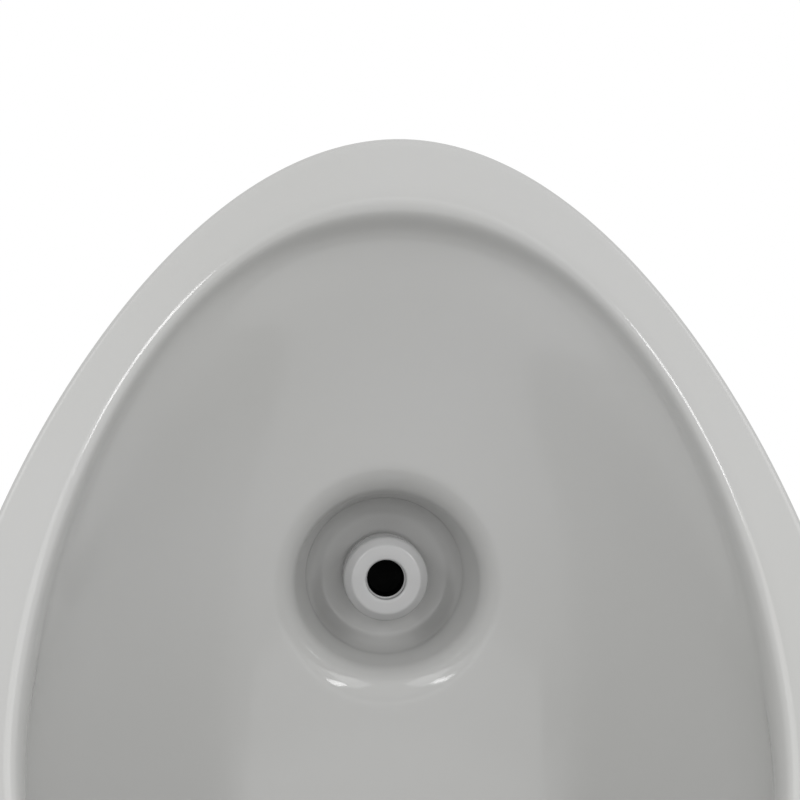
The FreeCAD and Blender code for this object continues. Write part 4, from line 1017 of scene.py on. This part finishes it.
class Look:
    """A node material that is built up step by step."""

    def __init__(self, name, color, rough, **values):
        self.material = bpy.data.materials.new(name)
        self.material.use_nodes = True
        self.tree = self.material.node_tree
        self.shader = self.tree.nodes["Principled BSDF"]
        self.shader.inputs["Base Color"].default_value = (*color, 1)
        self.shader.inputs["Roughness"].default_value = rough
        for key, value in values.items():
            self.shader.inputs[key.replace("_", " ")].default_value = value
        self.place = self.tree.nodes.new("ShaderNodeTexCoord").outputs["Object"]

    def node(self, kind, **inputs):
        node = self.tree.nodes.new(kind)
        for key, value in inputs.items():
            socket = node.inputs[key]
            if isinstance(value, bpy.types.NodeSocket):
                self.tree.links.new(value, socket)
            else:
                socket.default_value = value
        return node

    def noise(self, scale, detail=3.0, rough=0.5):
        return self.node("ShaderNodeTexNoise", Vector=self.place, Scale=scale, Detail=detail,
                         Roughness=rough).outputs["Fac"]

    def cells(self, scale):
        return self.node("ShaderNodeTexVoronoi", Vector=self.place, Scale=scale).outputs["Color"]

    def spread(self, value, low, high, to_low, to_high):
        node = self.node("ShaderNodeMapRange", Value=value)
        numbers = {"From Min": low, "From Max": high, "To Min": to_low, "To Max": to_high}
        for key, number in numbers.items():
            node.inputs[key].default_value = number
        return node.outputs["Result"]

    def link(self, value, socket):
        self.tree.links.new(value, self.shader.inputs[socket])

    def colours(self, value, *stops):
        ramp = self.node("ShaderNodeValToRGB", Fac=value)
        marks = ramp.color_ramp.elements
        while len(marks) < len(stops):
            marks.new(0.5)
        for mark, (place, color) in zip(marks, stops):
            mark.position = place
            mark.color = (*color, 1)
        self.link(ramp.outputs["Color"], "Base Color")

    def gloss(self, scale, low, high, detail=2.0):
        """Roughness that drifts between two values."""
        self.link(self.spread(self.noise(scale, detail), 0.3, 0.7, low, high), "Roughness")

    def bump(self, height, strength, distance):
        node = self.node("ShaderNodeBump", Height=height, Strength=strength, Distance=distance)
        self.link(node.outputs["Normal"], "Normal")


def srgb(*values):
    """Colour written as it looks on the screen, 0 to 255, as the shader wants it."""
    out = []
    for value in values:
        c = value / 255.0
        out.append(c / 12.92 if c <= 0.04045 else ((c + 0.055) / 1.055) ** 2.4)
    return tuple(out)


def glaze_look(name, light, dark, low, high):
    """Glossy glaze: slightly darker in places, with the faint waves of a fired surface."""
    look = Look(name, light, low, IOR=1.5)
    look.colours(look.noise(6.0, 2.0), (0.3, dark), (0.7, light))
    look.gloss(140.0, low, high)
    look.bump(look.noise(38.0, 1.0), 0.03, 0.0006)
    return look.material


def biscuit_look():
    """Bare ceramic: chalky, speckled, with the drag of the mould."""
    look = Look("bare_ceramic", srgb(205, 203, 196), 0.75)
    look.colours(look.noise(40.0, 6.0, 0.7), (0.3, srgb(194, 191, 181)),
                 (0.55, srgb(207, 205, 197)), (0.75, srgb(214, 212, 206)))
    look.gloss(90.0, 0.65, 0.9)
    look.bump(look.noise(420.0, 4.0, 0.6), 0.4, 0.0006)
    return look.material


def metal_look(name, light, dark, low, high, grain, strength):
    """Metal whose colour and polish drift, with fine marks."""
    look = Look(name, light, low, Metallic=1.0)
    look.colours(look.noise(70.0, 4.0, 0.6), (0.35, dark), (0.65, light))
    look.gloss(260.0, low, high, 4.0)
    look.bump(look.noise(grain, 3.0, 0.6), strength, 0.0002)
    return look.material


def zinc_look(name):
    """Zinc plate: small crystals, a faint yellow and blue cast, dull gloss."""
    look = Look(name, (0.62, 0.63, 0.64), 0.34, Metallic=0.95)
    look.colours(look.spread(look.cells(420.0), 0.0, 1.0, 0.0, 1.0),
                 (0.2, (0.52, 0.54, 0.58)), (0.5, (0.62, 0.63, 0.64)), (0.8, (0.68, 0.66, 0.58)))
    look.gloss(200.0, 0.26, 0.46, 4.0)
    look.bump(look.noise(900.0, 3.0), 0.25, 0.0002)
    return look.material


def plastic_look(name, light, dark, low, high, grain, strength):
    """Moulded plastic: an even colour that drifts a little, over a fine moulded grain."""
    look = Look(name, light, low, IOR=1.46)
    look.colours(look.noise(28.0, 3.0), (0.3, dark), (0.7, light))
    look.gloss(180.0, low, high, 3.0)
    look.bump(look.noise(grain, 2.0), strength, 0.0002)
    return look.material


def rubber_look(name):
    """Rubber: near black, with dusty patches and a dull bloom."""
    look = Look(name, (0.02, 0.02, 0.02), 0.6, IOR=1.45)
    look.colours(look.noise(60.0, 5.0, 0.65), (0.35, (0.012, 0.012, 0.012)),
                 (0.6, (0.02, 0.02, 0.02)), (0.8, (0.055, 0.054, 0.05)))
    look.gloss(120.0, 0.5, 0.8, 4.0)
    look.bump(look.noise(700.0, 3.0), 0.3, 0.0003)
    return look.material


LOOKS = {name: look(name, *values) for name, look, *values in (
    ("glaze", glaze_look, srgb(*GLAZE_LIGHT), srgb(*GLAZE_DARK), 0.08, 0.13),
    ("nozzle_finish", glaze_look, srgb(187, 187, 187), srgb(184, 184, 184), 0.06, 0.10),
    ("bright_metal", metal_look, (0.82, 0.82, 0.83), (0.72, 0.73, 0.75), 0.06, 0.15, 500.0, 0.05),
    ("brass", metal_look, (0.76, 0.58, 0.30), (0.52, 0.37, 0.17), 0.20, 0.38, 700.0, 0.15),
    ("grey_plastic", plastic_look, (0.30, 0.31, 0.32), (0.26, 0.27, 0.28), 0.38, 0.55,
     1400.0, 0.35),
    ("white_plastic", plastic_look, (0.74, 0.74, 0.72), (0.69, 0.69, 0.67), 0.22, 0.34,
     900.0, 0.12),
    ("cap_plastic", plastic_look, srgb(189, 189, 187), srgb(185, 185, 183), 0.12, 0.2,
     900.0, 0.08),
    ("black_rubber", rubber_look),
    ("zinc_steel", zinc_look),
)}
BISCUIT = biscuit_look()
# Painted shade: the nozzle's blind bore is coloured near black, with almost no reflection, to
# stand for the shadow inside the supply pipe.
PAINTED_SHADE_MOUTH = plastic_look("painted_shade_mouth", (0.002, 0.002, 0.002), (0.001, 0.001, 0.001), 0.5, 0.7,
                          900.0, 0.2)
PAINTED_SHADE_MOUTH.node_tree.nodes["Principled BSDF"].inputs["Specular IOR Level"].default_value = 0.05


# Camera, lights and stage
# ---------------------------------------------------------------------------

def camera():
    """Long lens at the photograph's angle."""
    data = bpy.data.cameras.new("camera")
    data.sensor_width = SENSOR_MM
    data.lens = FOCAL_PIXELS / PICTURE_PIXELS * SENSOR_MM
    data.clip_end = 100.0
    obj = add_object("camera", data)
    yaw, pitch, roll = CAMERA_TURN
    level = math.cos(pitch)
    ahead = Vector((math.sin(yaw) * level, math.cos(yaw) * level, math.sin(pitch)))
    right = ahead.cross(Vector((0, 0, 1))).normalized()
    up = right.cross(ahead)
    side = right * math.cos(roll) + up * math.sin(roll)
    top = up * math.cos(roll) - right * math.sin(roll)
    turn = Matrix((side, top, -ahead)).transposed()
    obj.matrix_world = Matrix.Translation(CAMERA_PLACE) @ turn.to_4x4()
    bpy.context.scene.camera = obj


def softbox(name, azimuth, elevation, distance, width, height, power):
    """Area light at an azimuth, to the right of the front, and an elevation."""
    data = bpy.data.lights.new(name, "AREA")
    data.shape = "RECTANGLE"
    data.size = width
    data.size_y = height
    data.energy = power
    obj = add_object(name, data)
    a, e = math.radians(azimuth), math.radians(elevation)
    aim = Vector(LAMP_AIM)
    level = math.cos(e)
    away = Vector((math.sin(a) * level, -math.cos(a) * level, math.sin(e)))
    obj.location = aim + distance * away
    obj.rotation_euler = (aim - obj.location).to_track_quat("-Z", "Y").to_euler()


def stage():
    """Plain pale floor."""
    mesh = bpy.data.meshes.new("floor")
    half = FLOOR_HALF
    mesh.from_pydata([(-half, -half, FLOOR_Z), (half, -half, FLOOR_Z), (half, half, FLOOR_Z),
                      (-half, half, FLOOR_Z)], [], [(0, 1, 2, 3)])
    floor = add_object("floor", mesh)
    look = Look("floor", (0.82, 0.82, 0.82), 0.85)
    look.colours(look.noise(0.7, 3.0), (0.3, (0.80, 0.80, 0.80)), (0.7, (0.83, 0.83, 0.83)))
    floor.data.materials.append(look.material)


def world():
    """White behind the object, and an even grey fill on it."""
    setting = bpy.data.worlds.new("world")
    bpy.context.scene.world = setting
    setting.use_nodes = True
    tree = setting.node_tree
    background = tree.nodes["Background"]
    path = tree.nodes.new("ShaderNodeLightPath")
    seen = path.outputs["Is Camera Ray"]
    for other in ("Is Glossy Ray", "Is Transmission Ray"):
        add = tree.nodes.new("ShaderNodeMath")
        add.operation = "ADD"
        tree.links.new(seen, add.inputs[0])
        tree.links.new(path.outputs[other], add.inputs[1])
        seen = add.outputs[0]
    level = tree.nodes.new("ShaderNodeMapRange")
    tree.links.new(seen, level.inputs["Value"])
    level.inputs["To Min"].default_value = FILL
    level.inputs["To Max"].default_value = 1.0
    tree.links.new(level.outputs["Result"], background.inputs["Strength"])
    background.inputs["Color"].default_value = (1, 1, 1, 1)


# Build it all
# ---------------------------------------------------------------------------

bpy.context.scene.view_settings.view_transform = "Standard"
camera()
world()
stage()
for number, light in enumerate(LIGHTS):
    softbox("softbox_%d" % number, *light)

for part in frame["record"]["subparts"]:
    for spot in frame["nodes"][part["node"]].material_slots:
        spot.material = LOOKS[part["material_slot"]]

PIECES = [ceramic(), nozzle(), *nozzle_nuts(), *waste(), *trap(), *outlet(), *anchors()]
for side, word in ((-1, "left"), (1, "right")):
    PIECES += [bracket(side, word), side_cap(side, word)]
for piece in PIECES:
    piece.data.materials.append(LOOKS[piece["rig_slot"]])
PIECES[0].data.materials.append(BISCUIT)
# The nozzle's second material is the painted shade in its bore.
PIECES[1].data.materials.append(PAINTED_SHADE_MOUTH)
